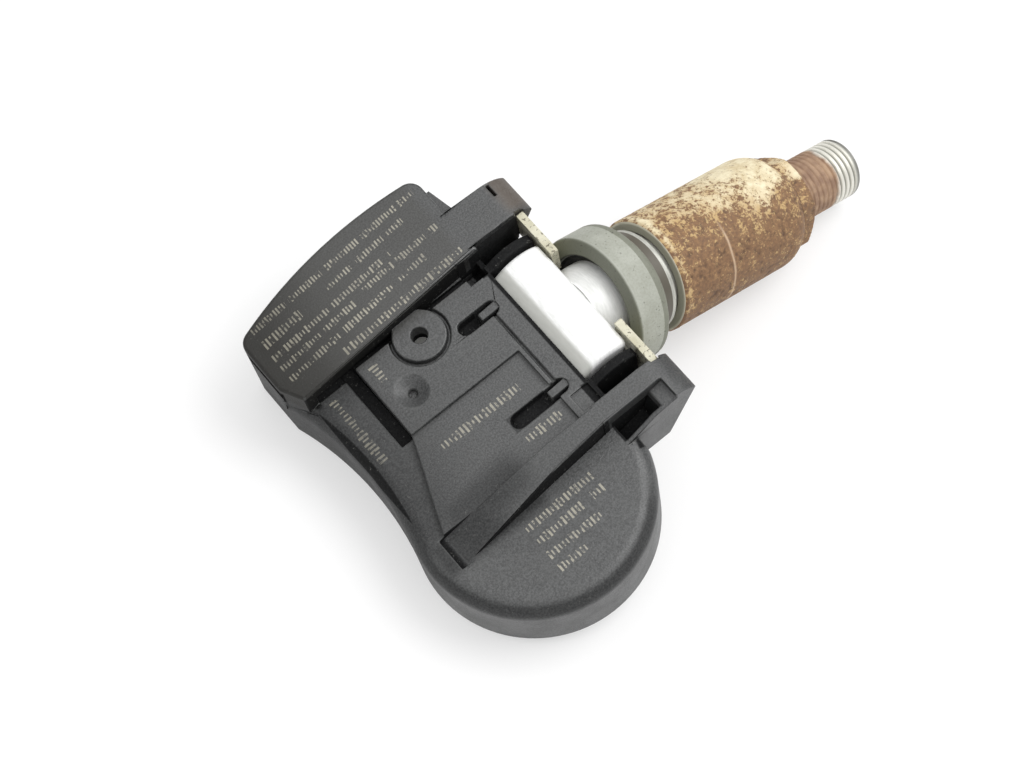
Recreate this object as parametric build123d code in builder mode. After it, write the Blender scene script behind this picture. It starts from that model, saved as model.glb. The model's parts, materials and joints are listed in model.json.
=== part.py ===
import os
from math import asin, atan2, cos, degrees, hypot, radians, sin, sqrt

from build123d import *

# Tyre pressure sensor with a clamp-in valve, lying on a table. Millimetres, +Z up.
# The housing has its own datum below the swivel axis, and the valve is measured along its own axis.

# How the two halves lie: the angle between them, and where the swivel axis is in the housing
swivel_angle = 23.2
swivel_x = 0.3
swivel_z = 0.75
swivel_clearance = 0.1

# How far cuts run past the face they open, where it is close and where it is free
cut_over = 0.1
cut_far = 1.0

# Housing: x to the valve, y to the label block, z out of the lid
wall = 1.8
floor_z = -6.7
deck_z = 3.4
panel_z = 4.2
plateau_z = 4.8
crown_z = 6.8
floor_bevel = 0.6

# Battery lobe, which sets the length of the housing, and the waist beside it
lobe_x = -16.0
lobe_y = -14.3
lobe_r = 14.4
lobe_round = 2.2
rim_margin = 1.5
rim_cover = lobe_round + rim_margin
lobe_front_share = 0.944
front_x = lobe_x + lobe_front_share * lobe_r
tail_x = lobe_x - lobe_r
waist_inset = 2.0
waist_x = tail_x + waist_inset
waist_y = 0.2

# Label block along the far side
label_tail_y = 20.4
label_bulge_x = -15.0
label_bulge_y = 23.8
label_front_y = 23.4
label_inner_tail_y = 9.8
label_inner_front_y = 11.5
label_corner_r = 1.8
label_bevel = 3.0
label_round = 0.5
label_slot_depth = 0.9
label_slot_low = 3.9
label_slot_high = 5.3
label_slot_ends = (12.6, 19.2)
label_ledge_y = (17.3, 21.4)
label_ledge_z = 5.6
label_ledge_reach = (1.3, 0.5)

# Arms either side of the valve foot
arm_inner_y = 12.0
arm_outer_y = 17.3
arm_top_x = 2.0
arm_tip_x = 6.0
arm_tip_z = 4.6
arm_low_x = 1.9
arm_low_z = -3.2
arm_root_x = -5.0
arm_slit_x = (3.2, 3.6)
arm_slit_y = (15.3, 17.0)
arm_slit_z = 5.2
scoop_front_x = 3.2
scoop_front_z = 5.7
scoop_bend_x = 0.0
scoop_bend_z = 5.3
scoop_back_x = -3.6
scoop_wall = 0.6
scoop_pit_x = (-3.8, 0.4, 1.8)
scoop_pit_z = (0.4, 2.2)
cheek_inner_y = 8.8
cheek_outer_y = 9.9
cheek_drop = 0.15
cheek_front_x = 3.5
cheek_top_z = -0.6

# Rib that runs back from the lower arm and ramps down to a sunken end near the tail
rib_inner_y = -12.2
rib_front_y = -14.5
rib_tail_y = -16.4
rib_flat_x = -11.5
rib_tail_x = -27.4
rib_tail_z = 2.9

# Relief of the lid
plateau_x = (-22.0, -6.4)
plateau_y = (-0.7, 9.8)
groove_width = 1.2
groove_z = 2.7
valley_width = 1.6
valley_z = 2.6
panel_tail_x = -26.6
boss_x = -13.9
boss_y = 8.1
boss_r = 3.2
boss_height = 0.35
boss_moat = 0.45
port_r = 1.0
dimple_x = -18.7
dimple_y = 3.4
dimple_r = 2.1
dimple_depth = 0.9
pit_r = 0.55
pit_depth = 0.6
finger_width = 1.9
finger_depth = 1.8
finger_upper = (-10.2, -4.6, 5.4)
finger_lower = (-12.6, -4.6, -7.2)
bridge_length = 2.6
bridge_drop = 0.3
tongue_line_x = -5.9
tongue_line_width = 0.35
tongue_line_depth = 0.5
side_pocket_x = (-5.6, -3.0)
side_pocket_y = (8.9, 11.4)
upper_pocket_z = 0.5
lower_pocket_drop = 0.35

# Valve foot, neck and shank along the valve axis
foot_r = 5.05
foot_half = 8.2
foot_flat = 1.45
foot_edge = 0.6
neck_root_r = 4.6
neck_r = 5.4
neck_flare = 2.5
seal_start = 4.55
seal_seat = 1.0
shank_r = 5.0
shank_end = 13.6
screw_r = 4.8
screw_end = 34.0
stem_neck_r = 3.5
stem_thread_r = 3.85
stem_end = 46.6
stem_chamfer = 0.4
air_r = 1.4
chamber_depth = 21.0
chamber_r = 2.65

# Rubber seal, thrust ring and sleeve nut
fit_gap = 0.05
seal_r = 8.65
seal_length = 4.5
seal_step_r = 7.7
seal_step_length = 0.8
seal_recess_r = 6.5
seal_edge = 0.4
ring_r = 6.4
ring_length = 2.45
ring_spigot_r = 5.6
nut_start = 12.95
nut_r = 7.32
nut_edge = 0.3
nut_mouth_r = 5.9
nut_mouth_depth = 1.3
nut_barrel_end = 31.2
nut_shoulder_r = 4.33
nut_shoulder_length = 3.6
nut_hex_flats = 11.0
nut_hex_turn = 15.0
nut_end = 36.7
nut_face_r = 5.35
nut_end_chamfer = 0.65
nut_hole_r = 4.3

# Valve core in the mouth of the stem, its depths measured from the end of the stem
core_depth = 2.4
core_length = 13.6
core_waist_depth = 12.4
core_waist_length = 1.6
core_waist_r = 2.1
core_spring_depth = 11.0
core_pin_r = 0.8
core_pin_depth = 0.7
core_pin_foot = 1.0
core_bore_r = 1.05
core_spring_bore_r = 1.95
core_collar_r = 1.6
core_collar_depth = 4.8
core_collar_length = 0.8
core_cup_r = 2.0
core_cup_length = 2.0
core_cup_gap = 0.2
spring_wire_r = 0.2
spring_turns = 5

# Retaining bracket, folded from one sheet
sheet = 1.0
bracket_x = 3.75
bracket_top_z = 5.5
bracket_outer_y = 12.2
bracket_base_y = 11.4
bracket_slot_y = 5.6
bracket_leg_y = 9.1
bracket_waist_z = 0.2
bracket_back_x = -4.4
bracket_throat_x = -1.4
bracket_gap = 0.1

# Closing plate, board and cell inside
cover_lip = 0.9
cover_thickness = 1.2
cover_gap = 0.05
cavity_setback = 6.2
label_cavity_y = 12.8
label_wall = 2.0
ceiling = 1.5
cell_pad_r = 1.5
cell_pad_reach = 7.5
post_r = 1.3
post_inset = 1.5
post_y = 3.5
post_far = (-18.0, 18.0)
board_z = -2.0
board_thickness = 1.0
board_y = (0.4, 20.0)
board_front_x = -10.0
board_gap = 0.3
board_corner = 1.5
cell_r = 10.0
cell_gap = 0.4
cell_thickness = 5.0
cell_rim = 0.8
cell_z = -4.6
tab_thickness = 0.3
tab_width = 4.0
tab_reach = 4.0
tab_foot = 2.0
tab_bend_gap = 1.0
tab_spread = (-4.5, 2.5)
chip_side = 5.0
chip_height = 1.8
port_seal_r = 2.4
port_seal_hole_r = 1.3
filter_thickness = 0.4
processor_side = 6.0
processor_height = 0.9
processor_inset = 4.3
processor_y = 9.0
crystal_size = (3.2, 2.5, 0.8)
crystal_place = (-19.5, 3.4)
capacitor_size = (1.6, 0.8, 0.8)
capacitor_pitch = 2.2
capacitor_count = 3
capacitor_inset = 1.6
capacitor_y = 17.05
coil_length = 9.0
coil_side = 3.4
coil_core_side = 1.8
coil_flange = 1.0
coil_wrap = 0.6
coil_place = (-14.6, 14.6)
aerial_height = 3.6
aerial_sheet = 0.5
aerial_width = 1.6
aerial_inset = 1.2
aerial_y = 18.6

# The sensor rests on the edge of its tail and on the round shoulder of the nut, equally far down
swivel = radians(swivel_angle)
tail_reach = swivel_x - tail_x - floor_bevel
floor_drop = swivel_z - floor_z
shoulder_drop = nut_r - nut_shoulder_r
lean_x = tail_reach + nut_barrel_end * cos(swivel) - shoulder_drop * sin(swivel)
lean_z = floor_drop - nut_barrel_end * sin(swivel) - shoulder_drop * cos(swivel)
housing_tilt = asin(nut_shoulder_r / hypot(lean_x, lean_z)) - atan2(lean_z, lean_x)
valve_dip = swivel - housing_tilt
pivot_z = tail_reach * sin(housing_tilt) + floor_drop * cos(housing_tilt)

# The origin is under the middle of the whole sensor
tip_reach = stem_end * cos(valve_dip) + (stem_thread_r - stem_chamfer) * sin(valve_dip)
back_reach = (tail_x - swivel_x) * cos(housing_tilt) - (crown_z - swivel_z) * sin(housing_tilt)
pivot_x = -(tip_reach + back_reach) / 2
pivot_y = -(label_bulge_y + lobe_y - lobe_r) / 2
pivot = (pivot_x, pivot_y, pivot_z)

housing_x = (cos(housing_tilt), 0, sin(housing_tilt))
housing_up = (-sin(housing_tilt), 0, cos(housing_tilt))
valve_x = (cos(valve_dip), 0, -sin(valve_dip))
datum_x = pivot_x - swivel_x * cos(housing_tilt) + swivel_z * sin(housing_tilt)
datum_z = pivot_z - swivel_x * sin(housing_tilt) - swivel_z * cos(housing_tilt)
datum = (datum_x, pivot_y, datum_z)
housing_plane = Plane(origin=datum, x_dir=housing_x, z_dir=housing_up)
housing_side = Plane(origin=datum, x_dir=housing_x, z_dir=(0, -1, 0))
housing_front = Plane(origin=datum, x_dir=(0, 1, 0), z_dir=housing_x)
valve_section = Plane(origin=pivot, x_dir=valve_x, z_dir=(0, -1, 0))
valve_end = Plane(origin=pivot, x_dir=(0, 1, 0), z_dir=valve_x)
valve_axis = Axis(pivot, valve_x)
up_axis = Axis(datum, housing_up)


def block(x_span, y_span, z_span, mode=Mode.ADD):
    # Box in housing coordinates
    with BuildSketch(housing_plane.offset(z_span[0])) as plan:
        with Locations(((x_span[0] + x_span[1]) / 2, (y_span[0] + y_span[1]) / 2)):
            Rectangle(x_span[1] - x_span[0], y_span[1] - y_span[0])
    extrude(plan.sketch, amount=z_span[1] - z_span[0], mode=mode)


def disc(place, radius, z_span, mode=Mode.ADD):
    # Upright cylinder in housing coordinates
    with BuildSketch(housing_plane.offset(z_span[0])) as plan:
        with Locations(place):
            Circle(radius)
    extrude(plan.sketch, amount=z_span[1] - z_span[0], mode=mode)


def side_slab(corners, y_span, mode=Mode.ADD):
    # Side view in housing x and z, carried across y
    with BuildSketch(housing_side.offset(-y_span[1])) as side:
        with BuildLine():
            Polyline(*corners, close=True)
        make_face()
    extrude(side.sketch, amount=y_span[1] - y_span[0], mode=mode)


def turned(corners, mode=Mode.ADD):
    # Half section of distance along the valve and radius, turned about the valve axis
    with BuildSketch(valve_section) as section:
        with BuildLine():
            Polyline(*corners, close=True)
        make_face()
    revolve(section.sketch, axis=valve_axis, mode=mode)


# The waist is an arc that meets the lobe tangentially and ends at the tail
waist_run = lobe_x - waist_x
waist_rise = waist_y - lobe_y
waist_r = (waist_run**2 + waist_rise**2 - lobe_r**2) / (2 * (lobe_r - waist_run))
waist_center_x = waist_x - waist_r
join_share = lobe_r / (lobe_r + waist_r)
join = (lobe_x - join_share * (waist_run + waist_r), lobe_y + join_share * waist_rise)
waist_end_y = waist_y + sqrt(waist_r**2 - (tail_x - waist_center_x) ** 2)


def housing_outline():
    # Lobe, waist, tail and bowed label side, closed by the straight front
    lobe_front_y = lobe_y - sqrt(lobe_r**2 - (front_x - lobe_x) ** 2)
    with BuildLine() as outline:
        ThreePointArc((front_x, lobe_front_y), (lobe_x, lobe_y - lobe_r), join)
        ThreePointArc(join, (waist_x, waist_y), (tail_x, waist_end_y))
        Line((tail_x, waist_end_y), (tail_x, label_tail_y))
        ThreePointArc((tail_x, label_tail_y), (label_bulge_x, label_bulge_y), (front_x, label_front_y))
        Line((front_x, label_front_y), (front_x, lobe_front_y))
    make_face(outline.edges())
    fillet(vertices().sort_by(Axis.Y)[-2:], label_corner_r)


def rounded_rim(center, start, span, edge_x, inner_x):
    # Half section with a rounded top corner at edge_x, turned through span about an upright axis at center
    inward = 1 if inner_x > edge_x else -1
    turn = radians(start)
    out = (cos(turn) * cos(housing_tilt), sin(turn), cos(turn) * sin(housing_tilt))
    aside = (sin(turn) * cos(housing_tilt), -cos(turn), sin(turn) * sin(housing_tilt))
    foot = housing_plane.from_local_coords((center[0], center[1], 0))
    with BuildSketch(Plane(origin=foot, x_dir=out, z_dir=aside)) as half:
        with BuildLine():
            corner = (edge_x, deck_z - lobe_round)
            TangentArc(corner, (edge_x + inward * lobe_round, deck_z), tangent=(0, 1))
            Polyline(
                (edge_x + inward * lobe_round, deck_z),
                (inner_x, deck_z),
                (inner_x, floor_z),
                (edge_x, floor_z),
                corner,
            )
        make_face()
    revolve(half.sketch, axis=Axis(foot, housing_up), revolution_arc=span)


cavity_front_x = front_x - cavity_setback


def inner_plan(inset, grow):
    # The outline drawn inwards and stopped behind the cradle, with the round room for the cell
    with BuildSketch(Plane.XY) as room:
        housing_outline()
        offset(amount=-inset, mode=Mode.REPLACE)
        with Locations((cavity_front_x + grow + tail_x, 0)):
            Rectangle(-2 * tail_x, 4 * label_bulge_y, mode=Mode.INTERSECT)
        with Locations((lobe_x, lobe_y)):
            Circle(cell_r + cell_gap + grow)
    add(room.sketch)


# Moulded housing: lobe, label block, two arms and the cradle for the valve foot
base_top = swivel_z - foot_r - swivel_clearance
with BuildPart() as housing_shell:
    # Lobe and waist with their rounded rims, and the rest of the outline within them
    lobe_start = degrees(atan2(join[1] - lobe_y, join[0] - lobe_x))
    rounded_rim((lobe_x, lobe_y), lobe_start, 360 - lobe_start, lobe_r, 0)
    front_cut = (front_x, lobe_x + lobe_r + cut_far)
    full_height = (floor_z - cut_far, deck_z + cut_far)
    block(front_cut, (lobe_y - lobe_r, lobe_y + lobe_r), full_height, Mode.SUBTRACT)
    waist_start = degrees(atan2(lobe_y - waist_y, lobe_x - waist_center_x))
    waist_span = degrees(atan2(waist_end_y - waist_y, tail_x - waist_center_x)) - waist_start
    rounded_rim((waist_center_x, waist_y), waist_start, waist_span, waist_r, waist_r + 2 * rim_cover)
    with BuildSketch(housing_plane.offset(floor_z)):
        housing_outline()
        with Locations((lobe_x, lobe_y - lobe_r)):
            Rectangle(4 * lobe_r, 2 * lobe_r, mode=Mode.SUBTRACT)
        with Locations((waist_x + rim_cover - lobe_r, waist_end_y - lobe_r)):
            Rectangle(2 * lobe_r, 2 * lobe_r, mode=Mode.SUBTRACT)
    extrude(amount=deck_z - floor_z)
    chamfer(edges().group_by(up_axis)[0], floor_bevel)

    # Label block with its bevelled tail corner
    with BuildSketch(housing_plane.offset(deck_z - lobe_round)):
        housing_outline()
        with BuildLine():
            Polyline(
                (tail_x - cut_far, label_inner_tail_y + label_bevel),
                (tail_x, label_inner_tail_y + label_bevel),
                (tail_x + label_bevel / 2, label_inner_tail_y),
                (front_x, label_inner_front_y),
                (front_x + cut_far, label_inner_front_y),
                (front_x + cut_far, label_bulge_y + cut_far),
                (tail_x - cut_far, label_bulge_y + cut_far),
                close=True,
            )
        make_face(mode=Mode.INTERSECT)
    extrude(amount=crown_z - deck_z + lobe_round)
    fillet(edges().group_by(up_axis)[-1], label_round)
    side_slab(
        (
            (tail_x - cut_far, label_slot_low),
            (tail_x + label_slot_depth, label_slot_low),
            (tail_x + label_slot_depth, label_slot_high),
            (tail_x - cut_far, label_slot_high),
        ),
        label_slot_ends,
        Mode.SUBTRACT,
    )
    with BuildSketch(housing_plane.offset(deck_z)):
        with BuildLine():
            Polyline(
                (front_x - cut_far, label_ledge_y[0]),
                (front_x + label_ledge_reach[0], label_ledge_y[0]),
                (front_x + label_ledge_reach[1], label_ledge_y[1]),
                (front_x - cut_far, label_ledge_y[1]),
                close=True,
            )
        make_face()
    extrude(amount=label_ledge_z - deck_z)

    # Arms that round over to their tips
    for far_y in (arm_outer_y, -arm_inner_y):
        with BuildSketch(housing_side.offset(-far_y)):
            with BuildLine():
                TangentArc((arm_top_x, crown_z), (arm_tip_x, arm_tip_z), tangent=(1, 0))
                Polyline(
                    (arm_tip_x, arm_tip_z),
                    (arm_low_x, arm_low_z),
                    (arm_root_x, arm_low_z),
                    (arm_root_x, crown_z),
                    (arm_top_x, crown_z),
                )
            make_face()
        extrude(amount=arm_outer_y - arm_inner_y)

    # Floor between arm and cradle, and the round cheeks that stand beside the ends of the valve foot
    for y_span in ((cheek_inner_y, arm_inner_y), (-arm_inner_y, -cheek_inner_y)):
        block((front_x - cut_far, cheek_front_x), y_span, (arm_low_z, cheek_top_z))
    for far_y in (cheek_outer_y, -cheek_inner_y):
        with BuildSketch(housing_side.offset(-far_y)):
            with Locations((swivel_x, swivel_z)):
                Circle(foot_r - cheek_drop)
            with Locations((cheek_front_x - foot_r, swivel_z)):
                Rectangle(2 * foot_r, 2 * foot_r, mode=Mode.INTERSECT)
        extrude(amount=cheek_outer_y - cheek_inner_y)

    # Rib that ramps down from the lower arm to a sunken end near the tail
    with BuildSketch(housing_plane.offset(deck_z - cut_far)):
        with BuildLine():
            Polyline(
                (rib_tail_x, rib_inner_y),
                (rib_tail_x, rib_tail_y),
                (arm_root_x, rib_front_y),
                (arm_root_x, rib_inner_y),
                close=True,
            )
        make_face()
    extrude(amount=crown_z - deck_z + cut_far)
    side_slab(
        (
            (rib_tail_x, rib_tail_z),
            (rib_flat_x, crown_z),
            (rib_flat_x, crown_z + cut_far),
            (rib_tail_x, crown_z + cut_far),
        ),
        (rib_tail_y, rib_inner_y),
        Mode.SUBTRACT,
    )

    # Panels of the lid: the middle one, and the sharp plateau beside the label block
    with BuildSketch(housing_plane.offset(deck_z)):
        with BuildLine():
            Polyline(
                (plateau_x[0], plateau_y[1]),
                (plateau_x[0], plateau_y[0]),
                (panel_tail_x, rib_inner_y),
                (front_x, rib_inner_y),
                (front_x, plateau_y[1]),
                close=True,
            )
        make_face()
    extrude(amount=panel_z - deck_z)
    block((plateau_x[0], front_x), plateau_y, (deck_z, plateau_z))
    block((plateau_x[1], front_x), (rib_inner_y, plateau_y[1]), (deck_z, plateau_z))

    # Deep groove along the label block and the valley at the tail end of the plateau
    block(
        (tail_x + label_bevel, side_pocket_x[0]),
        (plateau_y[1], plateau_y[1] + groove_width),
        (groove_z, plateau_z + cut_over),
        Mode.SUBTRACT,
    )
    block(
        (plateau_x[0] - valley_width, plateau_x[0]),
        (plateau_y[0], plateau_y[1] + groove_width),
        (valley_z, plateau_z),
        Mode.SUBTRACT,
    )

    # Pressure port boss in its moat, and the conical dimple
    disc((boss_x, boss_y), boss_r + boss_moat, (panel_z, plateau_z + cut_over), Mode.SUBTRACT)
    disc((boss_x, boss_y), boss_r, (panel_z - cut_far, plateau_z + boss_height))
    disc((boss_x, boss_y), port_r, (floor_z, crown_z), Mode.SUBTRACT)
    with BuildSketch(housing_plane.offset(plateau_z)):
        with Locations((dimple_x, dimple_y)):
            Circle(dimple_r)
    with BuildSketch(housing_plane.offset(plateau_z - dimple_depth)):
        with Locations((dimple_x, dimple_y)):
            Circle(pit_r)
    loft(mode=Mode.SUBTRACT)
    disc(
        (dimple_x, dimple_y),
        pit_r,
        (plateau_z - dimple_depth - pit_depth, plateau_z),
        Mode.SUBTRACT,
    )

    # Finger slots beside the tongue, each bridged at its front end
    for tail_end, front_end, slot_y in (finger_upper, finger_lower):
        with BuildSketch(housing_plane.offset(plateau_z - finger_depth)):
            with Locations(((tail_end + front_end) / 2, slot_y)):
                SlotOverall(front_end - tail_end, finger_width)
        extrude(amount=finger_depth + cut_over, mode=Mode.SUBTRACT)
        block(
            (front_end - bridge_length, front_end),
            (slot_y - finger_width / 4, slot_y + finger_width / 4),
            (plateau_z - finger_depth - cut_over, plateau_z - bridge_drop),
        )
    block(
        (tongue_line_x, tongue_line_x + tongue_line_width),
        (finger_lower[2] + finger_width / 2, finger_upper[2] - finger_width / 2),
        (plateau_z - tongue_line_depth, plateau_z + cut_over),
        Mode.SUBTRACT,
    )

    # Pockets behind the thin bars that join the arms to the cradle
    block(side_pocket_x, side_pocket_y, (upper_pocket_z, crown_z), Mode.SUBTRACT)
    block(
        side_pocket_x,
        (-side_pocket_y[1], -side_pocket_y[0]),
        (plateau_z - lower_pocket_drop, crown_z),
        Mode.SUBTRACT,
    )

    # Slit in the upper arm, and the lower arm scooped out on its outer side with a pit behind a thin wall
    block(arm_slit_x, arm_slit_y, (arm_slit_z, crown_z + cut_over), Mode.SUBTRACT)
    side_slab(
        (
            (scoop_front_x, crown_z + cut_over),
            (scoop_front_x, scoop_front_z),
            (scoop_bend_x, scoop_bend_z),
            (scoop_back_x, deck_z),
            (arm_root_x - cut_over, deck_z),
            (arm_root_x - cut_over, crown_z + cut_over),
        ),
        (-arm_outer_y - cut_over, rib_front_y),
        Mode.SUBTRACT,
    )
    side_slab(
        (
            (scoop_pit_x[0], crown_z),
            (scoop_pit_x[0], scoop_pit_z[0]),
            (scoop_pit_x[1], scoop_pit_z[1]),
            (scoop_pit_x[2], crown_z),
        ),
        (scoop_wall - arm_outer_y, rib_front_y),
        Mode.SUBTRACT,
    )

    # Cradle for the valve foot, the seat for the bracket under its lip, and slots in the arms
    with BuildSketch(housing_side.offset(-cheek_inner_y)):
        with Locations((swivel_x, swivel_z)):
            Circle(foot_r + swivel_clearance)
    extrude(amount=2 * cheek_inner_y, mode=Mode.SUBTRACT)
    base_half = bracket_base_y + bracket_gap
    seat_x = (bracket_back_x - bracket_gap, front_x + cut_far)
    block(seat_x, (-base_half, base_half), (floor_z - cut_far, base_top), Mode.SUBTRACT)
    slot_half = bracket_outer_y + bracket_gap
    slot_x = (bracket_x - bracket_gap, bracket_x + sheet + bracket_gap)
    block(slot_x, (-slot_half, slot_half), (floor_z, crown_z + cut_far), Mode.SUBTRACT)

    # Hollow inside, with a ledge for the closing plate
    with BuildSketch(housing_plane.offset(floor_z)):
        inner_plan(wall - cover_lip, cover_lip)
    extrude(amount=cover_thickness, mode=Mode.SUBTRACT)
    with BuildSketch(housing_plane.offset(floor_z)):
        inner_plan(wall, 0)
    extrude(amount=deck_z - ceiling - floor_z, mode=Mode.SUBTRACT)
    with BuildSketch(housing_plane.offset(deck_z - ceiling - cut_over)):
        inner_plan(label_wall, 0)
        with Locations((tail_x, label_cavity_y + label_bulge_y)):
            Rectangle(-4 * tail_x, 2 * label_bulge_y, mode=Mode.INTERSECT)
    extrude(amount=crown_z - deck_z + cut_over, mode=Mode.SUBTRACT)
housing_shell.part.label = "housing_shell"

# Closing plate under the housing, with posts for the board and pads for the cell
cover_top = floor_z + cover_thickness
board_tail_x = waist_x + wall + board_gap
post_places = (
    (board_tail_x + post_inset, post_y),
    (board_front_x - post_inset, post_y),
    post_far,
)
with BuildPart() as bottom_cover:
    with BuildSketch(housing_plane.offset(floor_z)):
        inner_plan(wall - cover_lip + cover_gap, cover_lip - cover_gap)
    extrude(amount=cover_thickness)
    for place in post_places:
        disc(place, post_r, (cover_top, board_z))
    for step_x, step_y in ((-1, 0), (1, 0), (0, -1)):
        pad = (lobe_x + step_x * cell_pad_reach, lobe_y + step_y * cell_pad_reach)
        disc(pad, cell_pad_r, (cover_top, cell_z))
bottom_cover.part.label = "bottom_cover"

# Bracket: two prongs in front of the foot, legs, and a base that hooks under the cradle
with BuildPart() as retaining_bracket:
    for sign in (1, -1):
        with BuildSketch(housing_front.offset(bracket_x)):
            with BuildLine():
                Polyline(
                    (sign * bracket_slot_y, bracket_top_z),
                    (sign * bracket_outer_y, bracket_top_z),
                    (sign * bracket_outer_y, bracket_waist_z),
                    (sign * bracket_base_y, bracket_waist_z),
                    (sign * bracket_base_y, base_top - sheet),
                    (sign * bracket_leg_y, base_top - sheet),
                    (sign * bracket_leg_y, bracket_waist_z),
                    (sign * bracket_slot_y, bracket_waist_z),
                    close=True,
                )
            make_face()
        extrude(amount=sheet)
    base_span = (-bracket_base_y, bracket_base_y)
    block((bracket_back_x, bracket_x + sheet), base_span, (base_top - sheet, base_top))
    throat_span = (-bracket_leg_y, bracket_leg_y)
    throat_x = (bracket_throat_x, bracket_x + sheet + cut_far)
    block(throat_x, throat_span, (base_top - sheet - cut_far, base_top + cut_over), Mode.SUBTRACT)
    low_edges = edges().filter_by(Axis.Y).group_by(up_axis)[0]
    fillet(low_edges.sort_by(Axis(datum, housing_x))[-2:], sheet)
retaining_bracket.part.label = "retaining_bracket"

# Valve: cross foot, flared neck, shank, screw and threaded mouth turned from one bar, bored through
seal_bed = seal_start + seal_seat
with BuildPart() as valve_stem:
    with BuildSketch(valve_section.offset(-foot_half)):
        Circle(foot_r)
        with Locations((foot_flat + foot_r, 0)):
            Rectangle(2 * foot_r, 4 * foot_r, mode=Mode.SUBTRACT)
    extrude(amount=2 * foot_half)
    chamfer(edges().filter_by(GeomType.CIRCLE), foot_edge)
    turned(
        (
            (0, 0),
            (0, neck_root_r),
            (foot_flat, neck_root_r),
            (foot_flat + neck_flare / 3, (neck_root_r + neck_r) / 2),
            (foot_flat + neck_flare, neck_r),
            (seal_bed, neck_r),
            (seal_bed, shank_r),
            (shank_end, shank_r),
            (shank_end, screw_r),
            (screw_end, screw_r),
            (screw_end, stem_neck_r),
            (nut_end, stem_neck_r),
            (nut_end, stem_thread_r),
            (stem_end - stem_chamfer, stem_thread_r),
            (stem_end, stem_thread_r - stem_chamfer),
            (stem_end, 0),
        )
    )
    turned(
        (
            (-foot_r - cut_far, 0),
            (-foot_r - cut_far, air_r),
            (stem_end - chamber_depth, air_r),
            (stem_end - chamber_depth, chamber_r),
            (stem_end + cut_far, chamber_r),
            (stem_end + cut_far, 0),
        ),
        Mode.SUBTRACT,
    )
valve_stem.part.label = "valve_stem"

# Rubber seal with a recessed back and a smaller step towards the rim
seal_end = seal_start + seal_length
step_end = seal_end + seal_step_length
with BuildPart() as rubber_seal:
    turned(
        (
            (seal_bed, shank_r + fit_gap),
            (seal_bed, seal_recess_r - seal_edge),
            (seal_start, seal_recess_r),
            (seal_start, seal_r - seal_edge),
            (seal_start + seal_edge, seal_r),
            (seal_end - seal_edge, seal_r),
            (seal_end, seal_r - seal_edge),
            (seal_end, seal_step_r),
            (step_end, seal_step_r - seal_edge),
            (step_end, shank_r + fit_gap),
        )
    )
rubber_seal.part.label = "rubber_seal"

# Bright ring that takes the thrust of the nut, with a spigot in the mouth of the nut
ring_end = step_end + ring_length
mouth_end = nut_start + nut_mouth_depth
with BuildPart() as thrust_ring:
    turned(
        (
            (step_end, shank_r + fit_gap),
            (step_end, ring_r),
            (ring_end, ring_r),
            (ring_end, ring_spigot_r),
            (mouth_end - fit_gap, ring_spigot_r),
            (mouth_end - fit_gap, shank_r + fit_gap),
        )
    )
thrust_ring.part.label = "thrust_ring"

# Sleeve nut: long barrel whose outer end rounds down to a smaller hexagon
hex_corner_r = nut_hex_flats / sqrt(3)
shoulder_end = nut_barrel_end + nut_shoulder_length
shoulder_end_r = shoulder_drop + sqrt(nut_shoulder_r**2 - nut_shoulder_length**2)
with BuildPart() as sleeve_nut:
    with BuildSketch(valve_section):
        with BuildLine():
            Polyline(
                (shoulder_end, shoulder_end_r),
                (shoulder_end, 0),
                (nut_start, 0),
                (nut_start, nut_r - nut_edge),
                (nut_start + nut_edge, nut_r),
                (nut_barrel_end, nut_r),
            )
            TangentArc((nut_barrel_end, nut_r), (shoulder_end, shoulder_end_r), tangent=(1, 0))
        make_face()
    revolve(axis=valve_axis)
    with BuildSketch(valve_end.offset(nut_barrel_end)):
        RegularPolygon(nut_hex_flats / 2, 6, major_radius=False, rotation=90 + nut_hex_turn)
    extrude(amount=nut_end - nut_barrel_end)
    turned(
        (
            (nut_end - nut_end_chamfer, hex_corner_r),
            (nut_end - nut_end_chamfer, nut_r),
            (nut_end, nut_r),
            (nut_end, nut_face_r),
        ),
        Mode.SUBTRACT,
    )
    turned(
        (
            (nut_start - cut_far, 0),
            (nut_start - cut_far, nut_mouth_r),
            (mouth_end, nut_mouth_r),
            (mouth_end, screw_r + fit_gap),
            (screw_end + fit_gap, screw_r + fit_gap),
            (screw_end + fit_gap, nut_hole_r),
            (nut_end + cut_far, nut_hole_r),
            (nut_end + cut_far, 0),
        ),
        Mode.SUBTRACT,
    )
sleeve_nut.part.label = "sleeve_nut"

# Valve core: screwed body, gasket in its waist, spring, pin with collar, and the sealing cup
core_r = chamber_r - fit_gap
core_end = stem_end - core_depth
core_start = core_end - core_length
core_waist_end = stem_end - core_waist_depth
core_waist_start = core_waist_end - core_waist_length
core_spring_start = stem_end - core_spring_depth
core_collar_start = stem_end - core_collar_depth
with BuildPart() as valve_core_body:
    turned(
        (
            (core_start, core_bore_r),
            (core_start, core_r),
            (core_waist_start, core_r),
            (core_waist_start, core_waist_r),
            (core_waist_end, core_waist_r),
            (core_waist_end, core_r),
            (core_end, core_r),
            (core_end, core_spring_bore_r),
            (core_spring_start, core_spring_bore_r),
            (core_spring_start, core_bore_r),
        )
    )
valve_core_body.part.label = "valve_core_body"

with BuildPart() as valve_core_gasket:
    turned(
        (
            (core_waist_start + fit_gap, core_waist_r + fit_gap),
            (core_waist_start + fit_gap, core_r),
            (core_waist_end - fit_gap, core_r),
            (core_waist_end - fit_gap, core_waist_r + fit_gap),
        )
    )
valve_core_gasket.part.label = "valve_core_gasket"

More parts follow.
